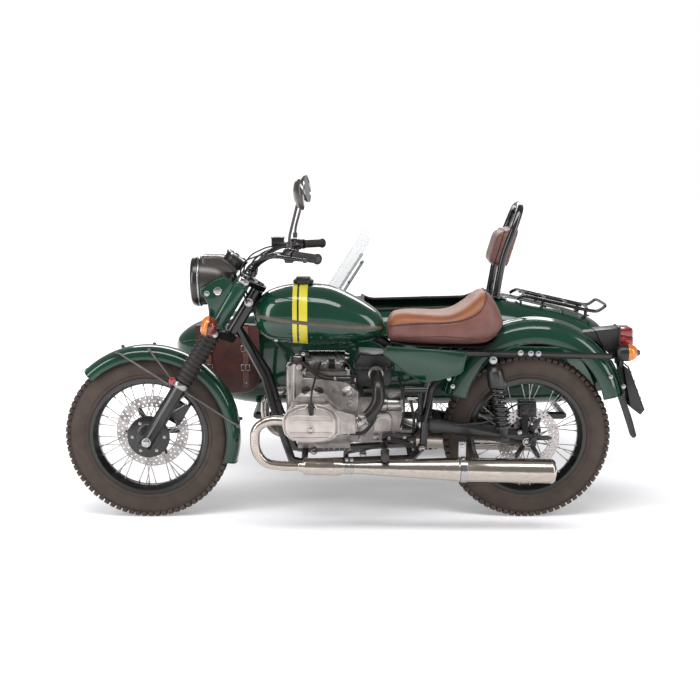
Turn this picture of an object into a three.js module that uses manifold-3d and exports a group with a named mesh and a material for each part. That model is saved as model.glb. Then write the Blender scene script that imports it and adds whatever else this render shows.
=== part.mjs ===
// A heavy touring motorcycle with a sidecar: flat twin engine, telescopic fork, swinging arm with
// two dampers, and a one-seat sidecar on the right with its own sprung wheel.
// Millimetres, +Z up. The front is -X, the motorcycle's left side is -Y and the sidecar is on +Y.
import * as THREE from "three";
import { mergeVertices } from "three/addons/utils/BufferGeometryUtils.js";
import Module from "manifold-3d";

const wasm = await Module();
wasm.setup();

// ---------------------------------------------------------------- driving sizes
const wheelbase = 1571;
const axleHeight = 345;
const rearAxleX = 735;
const frontAxleX = rearAxleX - wheelbase;
const gap = 0.5; // between pieces that touch

const tyreRadius = 345;
const tyreWidth = 105;
const rimRadius = 246; // at the flange
const rimWidth = 88;
const axleRadius = 9;
const spokeCount = 10;
const wheelSides = 20; // facets round a tyre and its rim

const rake = THREE.MathUtils.degToRad(31.4);
const axleToCollar = 289; // from the axle up to the top of the fork slider, along the leg
const axleLead = 6; // of the axle ahead of the legs
const steeringOffset = 66; // of the steering axis behind the legs
const stanchionRadius = 20;
const sliderRadius = 30;
const gaiterRadius = 39;
const guardClearance = 16; // of the front mudguard beside the tyre
const legClearance = 2.5; // of the gaiters beside the front mudguard
const legSpacing = tyreWidth + 2 * (guardClearance + gaiterRadius + legClearance);

const frameTube = 16;
const backboneRadius = 20;
const railSpacing = 260;
const railRadius = 13;

const swingPivot = [298, 412];
const uprightY = 136; // of the frame's uprights beside the swinging arm
const damperSpacing = 330;
const damperTop = [573, 690];
const damperFoot = [627, 366];
const gearPivot = [139, -152, 335];

const cylinderOffset = 470; // height of the cylinders' axis
const cylinderX = -152;
const finRadius = 88;
const valveCoverFace = 388; // from the middle plane to the valve cover's face

const exhaustOffset = 262; // of the silencers from the middle plane
const silencerRadius = 48;

const sidecarTrack = 1130; // from the motorcycle's middle plane to the sidecar wheel's
const sidecarAxleX = 385;
const bodyMiddle = 702; // of the sidecar's body, from the motorcycle's middle plane
const bodyWall = 3;

const colours = {
  green: 0x1c4a34,
  black: 0x1b1a1a,
  tyre: 0x3f3531,
  silver: 0xc9c6c2,
  steel: 0xd8d3cc,
  leather: 0x7c4a40,
  orange: 0xe98a1c,
  red: 0xb3202a,
  clear: 0xe8eef0,
};

// ---------------------------------------------------------------- small tools
const V = (x, y, z) => new THREE.Vector3(x, y, z);
const turn = (steps, from = 0, to = 2 * Math.PI) =>
  Array.from({ length: steps }, (_, i) => from + ((to - from) * i) / steps);
const arcPoints = (steps, from, to) =>
  Array.from({ length: steps + 1 }, (_, i) => from + ((to - from) * i) / steps);

// A closed geometry as a solid that can be joined or cut, with its faces pointing out.
function solidOf(geometry) {
  const bare = geometry.index ? geometry.toNonIndexed() : geometry.clone();
  bare.deleteAttribute("normal");
  bare.deleteAttribute("uv");
  const merged = mergeVertices(bare, 1e-3);
  const faces = [];
  const index = merged.index.array;
  for (let i = 0; i < index.length; i += 3) {
    const [a, b, c] = [index[i], index[i + 1], index[i + 2]];
    if (a !== b && b !== c && c !== a) faces.push([a, b, c]);
  }
  const build = (list) =>
    new wasm.Manifold(
      new wasm.Mesh({
        numProp: 3,
        vertProperties: merged.attributes.position.array,
        triVerts: new Uint32Array(list.flat()),
      }),
    );
  const made = build(faces);
  return made.volume() < 0 ? build(faces.map(([a, b, c]) => [a, c, b])) : made;
}

function geometryOf(solid) {
  const mesh = solid.getMesh();
  return new THREE.BufferGeometry()
    .setAttribute("position", new THREE.BufferAttribute(new Float32Array(mesh.vertProperties), 3))
    .setIndex(new THREE.BufferAttribute(new Uint32Array(mesh.triVerts), 1));
}

const join = (...pieces) =>
  geometryOf(pieces.flat().map(solidOf).reduce((a, b) => a.add(b)));
const cut = (piece, ...tools) =>
  geometryOf(tools.flat().map(solidOf).reduce((a, b) => a.subtract(b), solidOf(piece)));
const overlapOf = (a, b) => geometryOf(solidOf(a).intersect(solidOf(b)));

// A round bar or cone between two points.
function bar(from, to, radius, endRadius = radius, sides = 10) {
  const run = to.clone().sub(from);
  const middle = from.clone().add(to).multiplyScalar(0.5);
  return new THREE.CylinderGeometry(endRadius, radius, run.length(), sides)
    .applyQuaternion(
      new THREE.Quaternion().setFromUnitVectors(V(0, 1, 0), run.normalize()),
    )
    .translate(middle.x, middle.y, middle.z);
}

// Straight tubes end to end as one bent tube, with mitred corners.
function tubes(points, radius, sides = 6) {
  const along = (i) => points[i + 1].clone().sub(points[i]).normalize();
  const facing = new THREE.Quaternion().setFromUnitVectors(V(0, 0, 1), along(0));
  let ring = turn(sides).map((a) =>
    V(radius * Math.cos(a), radius * Math.sin(a), 0).applyQuaternion(facing).add(points[0]),
  );
  const rings = [ring];
  for (let i = 1; i < points.length; i++) {
    const incoming = along(i - 1);
    const outgoing = i < points.length - 1 ? along(i) : incoming;
    const mitre = incoming.clone().add(outgoing).normalize();
    ring = ring.map((p) => {
      const reach = points[i].clone().sub(p).dot(mitre) / incoming.dot(mitre);
      return p.clone().addScaledVector(incoming, reach);
    });
    rings.push(ring);
  }
  const outline = turn(sides).map((a) => new THREE.Vector2(Math.cos(a), Math.sin(a)));
  return skin(rings, () => outline);
}

function ball(centre, radius, sides = 10) {
  return new THREE.SphereGeometry(radius, sides, Math.max(4, sides / 2)).translate(
    centre.x,
    centre.y,
    centre.z,
  );
}

// A turned piece: profile points are [radius, distance along the axis].
function turned(profile, centre, axis, segments = 24) {
  return new THREE.LatheGeometry(
    profile.map(([r, along]) => new THREE.Vector2(r, along)),
    segments,
  )
    .applyQuaternion(new THREE.Quaternion().setFromUnitVectors(V(0, 1, 0), axis.clone().normalize()))
    .translate(centre.x, centre.y, centre.z);
}

// A ring or sleeve: the closed profile of a round wall.
const sleeve = (inner, outer, from, to) => [
  [inner, from],
  [outer, from],
  [outer, to],
  [inner, to],
  [inner, from],
];

function block(x0, x1, y0, y1, z0, z1) {
  return new THREE.BoxGeometry(x1 - x0, y1 - y0, z1 - z0).translate(
    (x0 + x1) / 2,
    (y0 + y1) / 2,
    (z0 + z1) / 2,
  );
}

// An outline in the XZ plane given a thickness from y0 to y1, with an optional chamfer.
function plate(outline, y0, y1, chamfer = 0) {
  const shape = new THREE.Shape(outline.map(([x, z]) => new THREE.Vector2(x, z)));
  return new THREE.ExtrudeGeometry(shape, {
    depth: y1 - y0 - 2 * chamfer,
    bevelEnabled: chamfer > 0,
    bevelSize: chamfer,
    bevelThickness: chamfer,
    bevelOffset: -chamfer,
    bevelSegments: 1,
  })
    .rotateX(Math.PI / 2)
    .translate(0, y1 - chamfer, 0);
}

// An outline in the YZ plane given a length from x0 to x1.
function girder(outline, x0, x1) {
  const shape = new THREE.Shape(outline.map(([y, z]) => new THREE.Vector2(y, z)));
  return new THREE.ExtrudeGeometry(shape, { depth: x1 - x0, bevelEnabled: false })
    .applyMatrix4(new THREE.Matrix4().makeBasis(V(0, 1, 0), V(0, 0, 1), V(1, 0, 0)))
    .translate(x0, 0, 0);
}

// Rings of equally many points joined side by side, closed by a flat face at each end.
// flat gives each ring's outline as 2-D points, in the ring's own order.
function skin(rings, flat) {
  const count = rings[0].length;
  const index = [];
  for (let r = 0; r + 1 < rings.length; r++)
    for (let i = 0; i < count; i++) {
      const a = r * count + i;
      const b = r * count + ((i + 1) % count);
      index.push(a, b, b + count, a, b + count, a + count);
    }
  const winding = (points) => Math.sign(THREE.ShapeUtils.area(points));
  const last = rings.length - 1;
  for (const r of [0, last]) {
    const outline = flat(r);
    const way = winding(outline) * (r === last ? 1 : -1);
    for (const [a, b, c] of THREE.ShapeUtils.triangulateShape(outline, [])) {
      const facing = winding([outline[a], outline[b], outline[c]]) === way;
      const face = facing ? [a, b, c] : [a, c, b];
      index.push(...face.map((i) => r * count + i));
    }
  }
  const positions = rings.flat().flatMap((p) => p.toArray());
  return new THREE.BufferGeometry()
    .setAttribute("position", new THREE.Float32BufferAttribute(positions, 3))
    .setIndex(index);
}

// A long shell lofted along X from sections { x, ring: [[y, z], ...] }.
const loft = (sections) =>
  skin(
    sections.map(({ x, ring }) => ring.map(([y, z]) => V(x, y, z))),
    (r) => sections[r].ring.map(([y, z]) => new THREE.Vector2(y, z)),
  );

// A cross-section [distance from the centre, y] swept round a wheel's centre, as a mudguard is.
function arcSweep(section, centreX, centreZ, middleY, fromDegrees, toDegrees, steps) {
  const angles = arcPoints(steps, fromDegrees, toDegrees).map(THREE.MathUtils.degToRad);
  const outline = section.map(([r, y]) => new THREE.Vector2(r, y));
  return skin(
    angles.map((a) =>
      section.map(([r, y]) => V(centreX + r * Math.cos(a), middleY + y, centreZ + r * Math.sin(a))),
    ),
    () => outline,
  );
}

// The cross-section of a mudguard of a given half width, with its wall.
function guardSection(radius, halfWidth, skirtRadius, wall) {
  const outer = [
    [skirtRadius, -halfWidth],
    [radius - 24, -halfWidth],
    [radius, -halfWidth * 0.45],
    [radius, halfWidth * 0.45],
    [radius - 24, halfWidth],
    [skirtRadius, halfWidth],
  ];
  const inner = outer.map(([r, y], i) => {
    const skirt = i === 0 || i === outer.length - 1;
    return [skirt ? r : r - wall, y * (1 - wall / halfWidth)];
  });
  return [...outer, ...inner.reverse()];
}

// A closed oval section, squarer as power rises over 2, split at a waist height.
const oval = (count, middleY, halfWidth, waist, top, bottom, power) =>
  turn(count).map((a) => {
    const squared = (v) => Math.sign(v) * Math.abs(v) ** (2 / power);
    const rise = Math.sin(a) > 0 ? top - waist : waist - bottom;
    return [middleY + halfWidth * squared(Math.cos(a)), waist + rise * squared(Math.sin(a))];
  });

// ---------------------------------------------------------------- the model's groups
const machine = new THREE.Group();

function addMesh(group, name, geometry, colour, metalness = 0, roughness = 0.5) {
  const material = new THREE.MeshStandardMaterial({ color: colour, metalness, roughness });
  const mesh = new THREE.Mesh(join(geometry), material);
  mesh.name = name;
  group.add(mesh);
  return mesh;
}

// The fork's own frame: X runs backwards across the legs, Z runs up along them, and the origin is
// where the sliders end, in the middle plane.
const up = V(Math.sin(rake), 0, Math.cos(rake));
const back = V(Math.cos(rake), 0, -Math.sin(rake));
const forkOrigin = V(frontAxleX, 0, axleHeight)
  .addScaledVector(up, axleToCollar)
  .addScaledVector(back, axleLead);
const forkFrame = new THREE.Matrix4().makeBasis(back, V(0, 1, 0), up).setPosition(forkOrigin);
const fork = new THREE.Group();
fork.applyMatrix4(forkFrame);
machine.add(fork);
const onFork = (x, y, along) => V(x, y, along).applyMatrix4(forkFrame);

// The steering's upper parts are placed from the front axle.
const steering = new THREE.Group();
steering.position.set(frontAxleX, 0, axleHeight);
machine.add(steering);
const steeringFrame = new THREE.Matrix4().setPosition(steering.position);

const legs = legSpacing / 2;
const lowerClamp = [228, 258]; // from and to, along the legs
const upperClamp = [474, 494];
const headTube = [lowerClamp[1] + 6, upperClamp[0] - 6];

// ---------------------------------------------------------------- wheels
// A spoked wheel's tyre: a hollow casing open towards the rim.
function tyre() {
  const half = tyreWidth / 2;
  const bead = rimWidth / 2 - 4 - gap;
  const seat = rimRadius - 12;
  const outer = [
    [seat, bead],
    [rimRadius + 4, bead],
    [rimRadius + 40, half],
    [tyreRadius - 22, half],
    [tyreRadius, half - 26],
  ];
  const inner = [
    [tyreRadius - 18, half - 22],
    [rimRadius + 30, half - 11],
    [seat, bead - 9],
  ];
  const mirrored = (points) => points.map(([r, y]) => [r, -y]);
  const profile = [
    ...outer,
    ...mirrored(outer).reverse(),
    ...mirrored(inner).reverse(),
    ...inner,
    outer[0],
  ];
  return turned(profile, V(0, 0, 0), V(0, 1, 0), wheelSides);
}

// The laced wheel: rim, spokes and hub, with the brake disc bolted to the hub where it has one.
function lacedWheel(discRadius, discY) {
  const half = rimWidth / 2;
  const well = rimRadius - 24;
  const bore = axleRadius + gap;
  const rim = turned(
    [
      [well, -half],
      [rimRadius, -half],
      [rimRadius, 4 - half],
      [well + 10, 4 - half],
      [well + 10, half - 4],
      [rimRadius, half - 4],
      [rimRadius, half],
      [well, half],
      [well, -half],
    ],
    V(0, 0, 0),
    V(0, 1, 0),
    wheelSides,
  );
  const flange = 30;
  const hub = turned(
    [
      [bore, -flange - 14],
      [32, -flange - 14],
      [52, -flange],
      [52, 6 - flange],
      [34, 8 - flange],
      [34, flange - 8],
      [52, flange - 6],
      [52, flange],
      [32, flange + 14],
      [bore, flange + 14],
      [bore, -flange - 14],
    ],
    V(0, 0, 0),
    V(0, 1, 0),
    12,
  );
  const spokes = turn(spokeCount).map((angle, i) => {
    const side = i % 2 ? 1 : -1;
    const lace = i % 4 < 2 ? 0.3 : -0.3;
    const foot = V(48 * Math.cos(angle + lace), side * (flange - 3), 48 * Math.sin(angle + lace));
    const head = V((well + 3) * Math.cos(angle), side * 8, (well + 3) * Math.sin(angle));
    return bar(foot, head, 2.4, 2.4, 3);
  });
  const pieces = [rim, hub, ...spokes];
  if (discRadius) {
    const side = Math.sign(discY);
    const carrier = sleeve(bore + 14, 46, side * 40, discY + side * 2);
    pieces.push(turned(carrier, V(0, 0, 0), V(0, 1, 0), 10));
    pieces.push(
      turned(sleeve(40, discRadius, discY - 2.5, discY + 2.5), V(0, 0, 0), V(0, 1, 0), 18),
    );
  }
  return join(pieces);
}

function addWheel(name, x, y, discRadius, discY) {
  const wheel = new THREE.Group();
  wheel.position.set(x, y, axleHeight);
  machine.add(wheel);
  addMesh(wheel, name + "_tyre", tyre(), colours.tyre, 0, 0.9);
  addMesh(wheel, name + "_wheel", lacedWheel(discRadius, discY), colours.silver, 0.6, 0.4);
}

const frontDiscY = 61;
const frontDiscRadius = 152;
const rearDiscY = -66;
const rearDiscRadius = 130;

// ---------------------------------------------------------------- front fork
const dropoutAlong = -axleToCollar; // where the axle lies in the fork's frame
const boreDepth = 200;

// Sliders, axle and brake caliper, bolted together.
function forkLowers() {
  const pieces = [];
  for (const side of [-1, 1]) {
    const y = side * legs;
    pieces.push(bar(V(0, y, dropoutAlong - 22), V(0, y, -14), sliderRadius));
    pieces.push(bar(V(0, y, -14), V(0, y, 0), sliderRadius + 5));
    pieces.push(bar(V(-axleLead, y - 16, dropoutAlong), V(-axleLead, y + 16, dropoutAlong), 26));
  }
  const axleEnd = legs + 26;
  pieces.push(
    bar(
      V(-axleLead, -axleEnd, dropoutAlong),
      V(-axleLead, axleEnd, dropoutAlong),
      axleRadius,
      axleRadius,
      16,
    ),
  );
  const spacer = sleeve(axleRadius - 2, 18, 46, legs - 10);
  pieces.push(turned(spacer.map(([r, a]) => [r, -a]), V(-axleLead, 0, dropoutAlong), V(0, 1, 0), 12));
  // caliper behind the right leg, astride the disc
  const caliper = cut(
    block(24, 78, frontDiscY - 24, frontDiscY + 26, dropoutAlong + 74, dropoutAlong + 168),
    block(0, 100, frontDiscY - 5, frontDiscY + 5, dropoutAlong + 60, dropoutAlong + 200),
    block(20, 64, frontDiscY - 30, frontDiscY - 4, dropoutAlong + 66, dropoutAlong + 96),
  );
  const bridge = block(64, 78, frontDiscY - 24, frontDiscY + 26, dropoutAlong + 150, dropoutAlong + 178);
  const arm = block(8, 60, frontDiscY + 18, legs, dropoutAlong + 90, dropoutAlong + 128);
  pieces.push(cut(join(caliper, bridge, arm), discKeepout()));
  const bores = [-1, 1].map((side) =>
    bar(V(0, side * legs, -boreDepth), V(0, side * legs, 20), stanchionRadius + gap),
  );
  return cut(join(pieces), bores);
}

// The space that the front disc turns in, in the fork's frame.
function discKeepout() {
  return turned(
    sleeve(20, frontDiscRadius + 5, frontDiscY - 4, frontDiscY + 4),
    V(-axleLead, 0, dropoutAlong),
    V(0, 1, 0),
    18,
  );
}

// Stem, two clamps and the stanchions.
function forkCrown() {
  const clamp = ([from, to], grow) => {
    const arms = [-1, 1].map((side) =>
      bar(V(0, side * legs, from), V(0, side * legs, to), stanchionRadius + grow, stanchionRadius + grow, 8),
    );
    const hub = bar(V(steeringOffset, 0, from), V(steeringOffset, 0, to), 30);
    const bridge = new THREE.ExtrudeGeometry(
      new THREE.Shape(
        [
          [-14, -legs],
          [14, -legs],
          [steeringOffset + 26, -26],
          [steeringOffset + 26, 26],
          [14, legs],
          [-14, legs],
          [steeringOffset - 24, 14],
          [steeringOffset - 24, -14],
        ].map(([x, y]) => new THREE.Vector2(x, y)),
      ),
      { depth: to - from, bevelEnabled: false },
    ).translate(0, 0, from);
    return [...arms, hub, bridge];
  };
  const stanchions = [-1, 1].map((side) =>
    bar(V(0, side * legs, 120 - boreDepth), V(0, side * legs, upperClamp[1] + 16), stanchionRadius),
  );
  const stem = bar(
    V(steeringOffset, 0, lowerClamp[0]),
    V(steeringOffset, 0, upperClamp[1] + 8),
    14,
    14,
    16,
  );
  return join(clamp(lowerClamp, 12), clamp(upperClamp, 9), stanchions, stem);
}

// A ribbed rubber boot round one leg, between slider and lower clamp.
function gaiter() {
  const from = gap;
  const to = lowerClamp[0] - gap;
  const ribs = 5;
  const pitch = (to - from) / ribs;
  const outer = turn(ribs, 0, ribs).flatMap((i) => [
    [gaiterRadius - 6, from + i * pitch],
    [gaiterRadius, from + (i + 0.5) * pitch],
  ]);
  const inner = stanchionRadius + 3;
  return [[inner, from], ...outer, [gaiterRadius - 6, to], [inner, to], [inner, from]];
}

// The painted cover round one leg, with the ear that carries the headlamp.
function forkCover(side) {
  const from = lowerClamp[1] + 10;
  const to = upperClamp[0] - gap;
  const inner = stanchionRadius + 4;
  const tubePart = turned(sleeve(inner, inner + 5, from, to), V(0, 0, 0), V(0, 0, 1), 12);
  const outline = [
    [-24, from + 6],
    [-24, to - 34],
    [-60, to - 10],
    [-118, to - 104],
    [-108, to - 122],
    [-66, to - 140],
    [-34, from + 6],
  ];
  const ear = plate(outline, side * 12 - 2, side * 12 + 2);
  const bore = bar(V(0, 0, from - 5), V(0, 0, to + 5), inner);
  return cut(join(tubePart, ear), bore);
}

function buildFork() {
  addMesh(fork, "fork_lowers", forkLowers(), colours.black, 0.4, 0.5);
  addMesh(fork, "fork_crown", forkCrown(), colours.black, 0.5, 0.4);
  for (const [side, label] of [
    [-1, "left"],
    [1, "right"],
  ]) {
    const boot = turned(gaiter(), V(0, 0, 0), V(0, 0, 1), 10);
    addMesh(fork, "gaiter_" + label, boot, colours.black, 0, 0.8).position.y = side * legs;
    const cover = forkCover(side);
    addMesh(fork, "fork_cover_" + label, cover, colours.green, 0, 0.2).position.y = side * legs;
  }
}

// Mudguard with the stays that hold it to the sliders.
const frontGuardRadius = tyreRadius + 35;
const frontGuardHalf = tyreWidth / 2 + guardClearance;
function frontMudguard() {
  const section = guardSection(frontGuardRadius, frontGuardHalf, tyreRadius - 14, 2);
  const guard = arcSweep(section, 0, 0, 0, -17.6, 133, 14);
  const stays = [];
  for (const side of [-1, 1]) {
    const foot = V(118, side * (legs - sliderRadius - 7), 208);
    const ends = [122, 60];
    for (const degrees of ends) {
      const a = THREE.MathUtils.degToRad(degrees);
      const r = frontGuardRadius - 18;
      const end = V(r * Math.cos(a), side * (frontGuardHalf - 1), r * Math.sin(a));
      stays.push(bar(foot, end, 4, 4, 4));
    }
    stays.push(ball(foot, 5, 6));
  }
  return join(guard, stays);
}

// ---------------------------------------------------------------- steering head parts
// Placed from the front axle: x is behind it and z is above it.
function headlamp() {
  const bucket = turned(
    [
      [0, -34],
      [60, -30],
      [96, -14],
      [100, 0],
      [98, 22],
      [88, 90],
      [60, 130],
      [0, 142],
    ],
    V(216, 0, 644),
    V(1, 0, 0.02),
    20,
  );
  const pod = plate(
    [
      [232, 676],
      [376, 668],
      [356, 720],
      [318, 752],
      [232, 752],
    ],
    -62,
    62,
    14,
  );
  const boltEars = bar(V(238, -legs - 4, 648), V(238, legs + 4, 648), 6, 6, 8);
  return cut(join(bucket, pod, boltEars), gaugeAt(gap));
}

// The speedometer sits in the lamp shell's sloping top.
function gaugeAt(grow = 0) {
  const slope = V(0.56, 0, 0.83);
  return turned(
    [
      [0, -40 - grow],
      [42 + grow, -40 - grow],
      [42 + grow, 0],
      [48, 0.2],
      [48, 12],
      [0, 14],
    ],
    V(372, 0, 738),
    slope,
    20,
  );
}

const barClamp = V(442, 0, 694);
const gripInner = V(624, 285, 773);
const gripOuter = V(717, 395, 769);
const barRadius = 11;
const mirrored = (v) => V(v.x, -v.y, v.z);

// Bar with its clamp, the left grip, both control perches and the brake's reservoir.
function handlebar() {
  const bend = [
    V(442, 46, 694),
    V(470, 120, 730),
    V(516, 186, 762),
    V(560, 232, 774),
    gripInner,
  ];
  const rightEnd = gripOuter.clone().lerp(gripInner, 0.04);
  const leftHalf = [gripOuter, ...bend.toReversed()].map(mirrored);
  const pieces = [tubes([...leftHalf, ...bend, rightEnd], barRadius, 8)];
  const leftGrip = [mirrored(gripInner), mirrored(gripOuter)];
  pieces.push(bar(leftGrip[0], leftGrip[1], 17, 17, 8));
  // switch boxes inboard of the grips
  pieces.push(bar(V(586, -256, 776), mirrored(gripInner), 24, 24, 8));
  pieces.push(bar(V(586, 256, 776), gripInner.clone().lerp(gripOuter, -0.02), 24, 24, 8));
  // lever perches, ahead of the bar
  pieces.push(block(548, 590, -262, -242, 764, 784), block(548, 590, 242, 262, 764, 784));
  pieces.push(block(505, 556, 214, 262, 772, 802));
  // clamps down to the fork's upper yoke
  for (const y of [-34, 34]) pieces.push(bar(V(430, y, 664), V(442, y, 694), 15, 15, 6));
  return join(pieces);
}

function throttleGrip() {
  const run = gripOuter.clone().sub(gripInner).normalize();
  const length = gripInner.distanceTo(gripOuter);
  return turned(sleeve(barRadius + 1.4, 17, 6, length), gripInner, run, 12);
}

// A lever that curves along ahead of its grip, from a pivot on the perch.
const leverPivot = V(556, -284, 772);
function lever() {
  const outline = [
    V(0, 0, 0),
    V(12, -40, 0),
    V(52, -90, -2),
    V(96, -140, -4),
    V(112, -160, -4),
  ].map((p) => p.add(leverPivot));
  const blade = tubes(outline, 6, 6);
  const boss = bar(
    leverPivot.clone().add(V(0, 0, -8)),
    leverPivot.clone().add(V(0, 0, 8)),
    10,
    10,
    10,
  );
  return join(blade, boss, ball(outline.at(-1), 9, 6));
}

const mirrorFoot = V(600, -262, 802);
function mirror() {
  const stem = [
    mirrorFoot,
    V(606, -264, 840),
    V(622, -290, 920),
    V(636, -312, 968),
  ];
  const face = V(1, 0.18, 0.12).normalize();
  const head = new THREE.SphereGeometry(1, 12, 7)
    .scale(60, 60, 20)
    .applyQuaternion(new THREE.Quaternion().setFromUnitVectors(V(0, 0, 1), face))
    .translate(642, -330, 1008);
  return join(tubes(stem, 6, 6), bar(V(600, -262, 802), V(602, -263, 822), 9, 9, 8), head);
}

function flipY(geometry) {
  return geometry.clone().scale(1, -1, 1);
}

function frontIndicator() {
  const lens = turned(
    [
      [0, -24],
      [30, -22],
      [42, -8],
      [42, 6],
      [30, 34],
      [0, 38],
    ],
    V(270, -legs - 78, 484),
    V(1, 0, -0.2),
    16,
  );
  return join(lens, bar(V(284, -legs - 40, 484), V(284, -legs - 60, 484), 9, 9, 8));
}

function buildSteering() {
  const clampKeepout = [
    bar(V(steeringOffset, 0, upperClamp[0] - gap), V(steeringOffset, 0, upperClamp[1] + 8 + gap), 31),
  ].map((g) => g.applyMatrix4(forkFrame).applyMatrix4(steeringFrame.clone().invert()));
  addMesh(steering, "headlamp", headlamp(), colours.black, 0.2, 0.4);
  addMesh(steering, "speedometer", gaugeAt(), colours.black, 0.4, 0.3);
  addMesh(steering, "handlebar", cut(handlebar(), clampKeepout), colours.black, 0.4, 0.5);
  addMesh(steering, "throttle_grip", throttleGrip(), colours.black, 0, 0.9);
  addMesh(steering, "clutch_lever", lever(), colours.black, 0.5, 0.4);
  addMesh(steering, "brake_lever", flipY(lever()), colours.black, 0.5, 0.4);
  addMesh(steering, "mirror_left", mirror(), colours.black, 0.2, 0.3);
  addMesh(steering, "mirror_right", flipY(mirror()), colours.black, 0.2, 0.3);
  addMesh(steering, "front_indicator", frontIndicator(), colours.orange, 0, 0.3);
  addMesh(steering, "front_mudguard", frontMudguard(), colours.green, 0, 0.2);
}

// ---------------------------------------------------------------- frame
const headAt = (along) => onFork(steeringOffset, 0, along);
const both = (points) => [points, points.map(mirrored)];

function frame() {
  const pieces = [];
  const headOuter = 27;
  pieces.push(bar(headAt(headTube[0]), headAt(headTube[1]), headOuter, headOuter, 14));
  // backbone under the tank, to the seat's cross tube
  const seatCross = V(160, 0, 722);
  const backbone = [headAt(headTube[0] + 125), V(-250, 0, 850), V(60, 0, 780), seatCross];
  pieces.push(tubes(backbone, backboneRadius, 8));
  pieces.push(bar(V(160, -railSpacing / 2, 718), V(160, railSpacing / 2, 718), railRadius, railRadius, 10));
  const down = [
    headAt(headTube[0] + 34),
    V(frontAxleX + 489, 74, 598),
    V(-304, 96, 449),
    V(-238, 108, 262),
    V(-190, 110, 252),
    V(250, 122, 272),
    V(swingPivot[0], uprightY, 330),
    V(swingPivot[0] + 6, uprightY, 430),
  ];
  for (const side of both(down)) pieces.push(tubes(side, frameTube));
  // rails over the rear wheel, with a loop behind it
  const half = railSpacing / 2;
  const rail = [V(160, half, 718), V(474, half, 709), V(1049, half, 698), V(1084, half - 34, 697)];
  for (const side of both(rail)) pieces.push(tubes(side, railRadius));
  pieces.push(bar(V(1082, 30 - half, 697), V(1082, half - 30, 697), 9, 9, 6));
  // seat posts and the pivot's cross tubes
  const post = [V(swingPivot[0] + 6, uprightY, 430), V(330, 128, 560), V(430, half, 709)];
  for (const side of both(post)) pieces.push(tubes(side, frameTube - 2));
  pieces.push(bar(V(250, -122, 272), V(250, 122, 272), 14, 14, 10));
  pieces.push(bar(V(-190, -110, 252), V(-190, 110, 252), 14, 14, 10));
  // swinging arm's spindle and the dampers' upper pins
  pieces.push(bar(V(swingPivot[0], -134, swingPivot[1]), V(swingPivot[0], 134, swingPivot[1]), 10, 10, 16));
  const pinEnd = damperSpacing / 2 + 16;
  for (const s of [-1, 1]) {
    const [x, z] = damperTop;
    pieces.push(bar(V(x, s * (half - 8), z), V(x, s * pinEnd, z), 7, 7, 12));
    pieces.push(bar(V(x, s * (half - 8), z + 2), V(x, s * (half - 8), z + 20), 9, 9, 8));
  }
  // footrests
  for (const s of [-1, 1]) {
    pieces.push(tubes([V(150, s * 110, 264), V(150, s * 190, 320), V(138, s * 240, 329)], 10, 8));
    pieces.push(bar(V(138, s * 236, 329), V(138, s * 340, 329), 17, 17, 10));
  }
  // the gear pedal's pin, on a web up from the left footrest
  const [gx, gy, gz] = gearPivot;
  pieces.push(bar(V(gx, gy + 20, gz), V(gx, gy - 14, gz), 7, 7, 10));
  pieces.push(bar(V(gx + 7, gy + 17, gz - 52), V(gx, gy + 17, gz), 6, 6, 6));
  const bore = bar(headAt(headTube[0] - 5), headAt(headTube[1] + 5), 15.5, 15.5, 16);
  return cut(join(pieces), bore);
}

// ---------------------------------------------------------------- engine
function engineBlock() {
  const caseSection = [
    [-92, 330],
    [-60, 300],
    [60, 300],
    [92, 330],
    [108, 400],
    [108, 560],
    [84, 606],
    [-84, 606],
    [-108, 560],
    [-108, 400],
  ];
  const crankcase = girder(caseSection, -246, 0);
  const nose = plate(
    [
      [-262, 640],
      [-262, 440],
      [-244, 400],
      [-200, 400],
      [-200, 640],
    ],
    -70,
    70,
    10,
  );
  const bell = turned(
    [
      [0, -4],
      [118, -4],
      [118, 34],
      [86, 60],
      [0, 60],
    ],
    V(0, 0, 440),
    V(1, 0, 0),
    20,
  );
  const gearbox = girder(
    [
      [-84, 336],
      [84, 336],
      [92, 400],
      [84, 520],
      [-84, 520],
      [-92, 400],
    ],
    40,
    214,
  );
  const corner = block(-300, -216, -130, 130, 280, 356);
  const starter = bar(V(108, -88, 492), V(216, -88, 492), 28, 28, 14);
  const dynamoSeat = block(-184, -12, -50, 50, 600, 620);
  return cut(join(crankcase, nose, bell, gearbox, starter, dynamoSeat), corner);
}

// Barrel and head with cooling fins, as one turned stack with its ports.
function cylinder() {
  const fins = 5;
  const start = 108 + gap;
  const end = 300;
  const pitch = (end - start - 10) / fins;
  const core = 62;
  const profile = [[0, start], [core, start]];
  for (let i = 0; i < fins; i++) {
    const at = start + 8 + i * pitch;
    profile.push([core, at], [finRadius, at], [finRadius, at + pitch * 0.45], [core, at + pitch * 0.45]);
  }
  profile.push([core, end], [0, end]);
  const barrel = turned(profile, V(cylinderX, 0, cylinderOffset), V(0, 1, 0), 10);
  const head = plate(
    [
      [-248, 430],
      [-228, 400],
      [-76, 400],
      [-52, 424],
      [20, 430],
      [20, 500],
      [-50, 520],
      [-80, 545],
      [-228, 545],
      [-248, 516],
    ],
    262,
    valveCoverFace - 42,
  );
  return join(barrel, head);
}

function valveCover() {
  const outline = [
    [-258, 442],
    [-234, 408],
    [-150, 394],
    [-76, 402],
    [-48, 430],
    [-46, 512],
    [-76, 538],
    [-150, 549],
    [-232, 536],
    [-258, 506],
  ];
  return plate(outline, valveCoverFace - 42 + gap, valveCoverFace, 14);
}

function dynamo() {
  const casing = bar(V(-184, 0, 662), V(-20, 0, 662), 38, 38, 16);
  const tail = bar(V(-20, 0, 662), V(-4, 0, 662), 30, 26, 16);
  return join(casing, tail, block(-180, -24, -30, 30, 620 + gap, 650));
}

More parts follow.
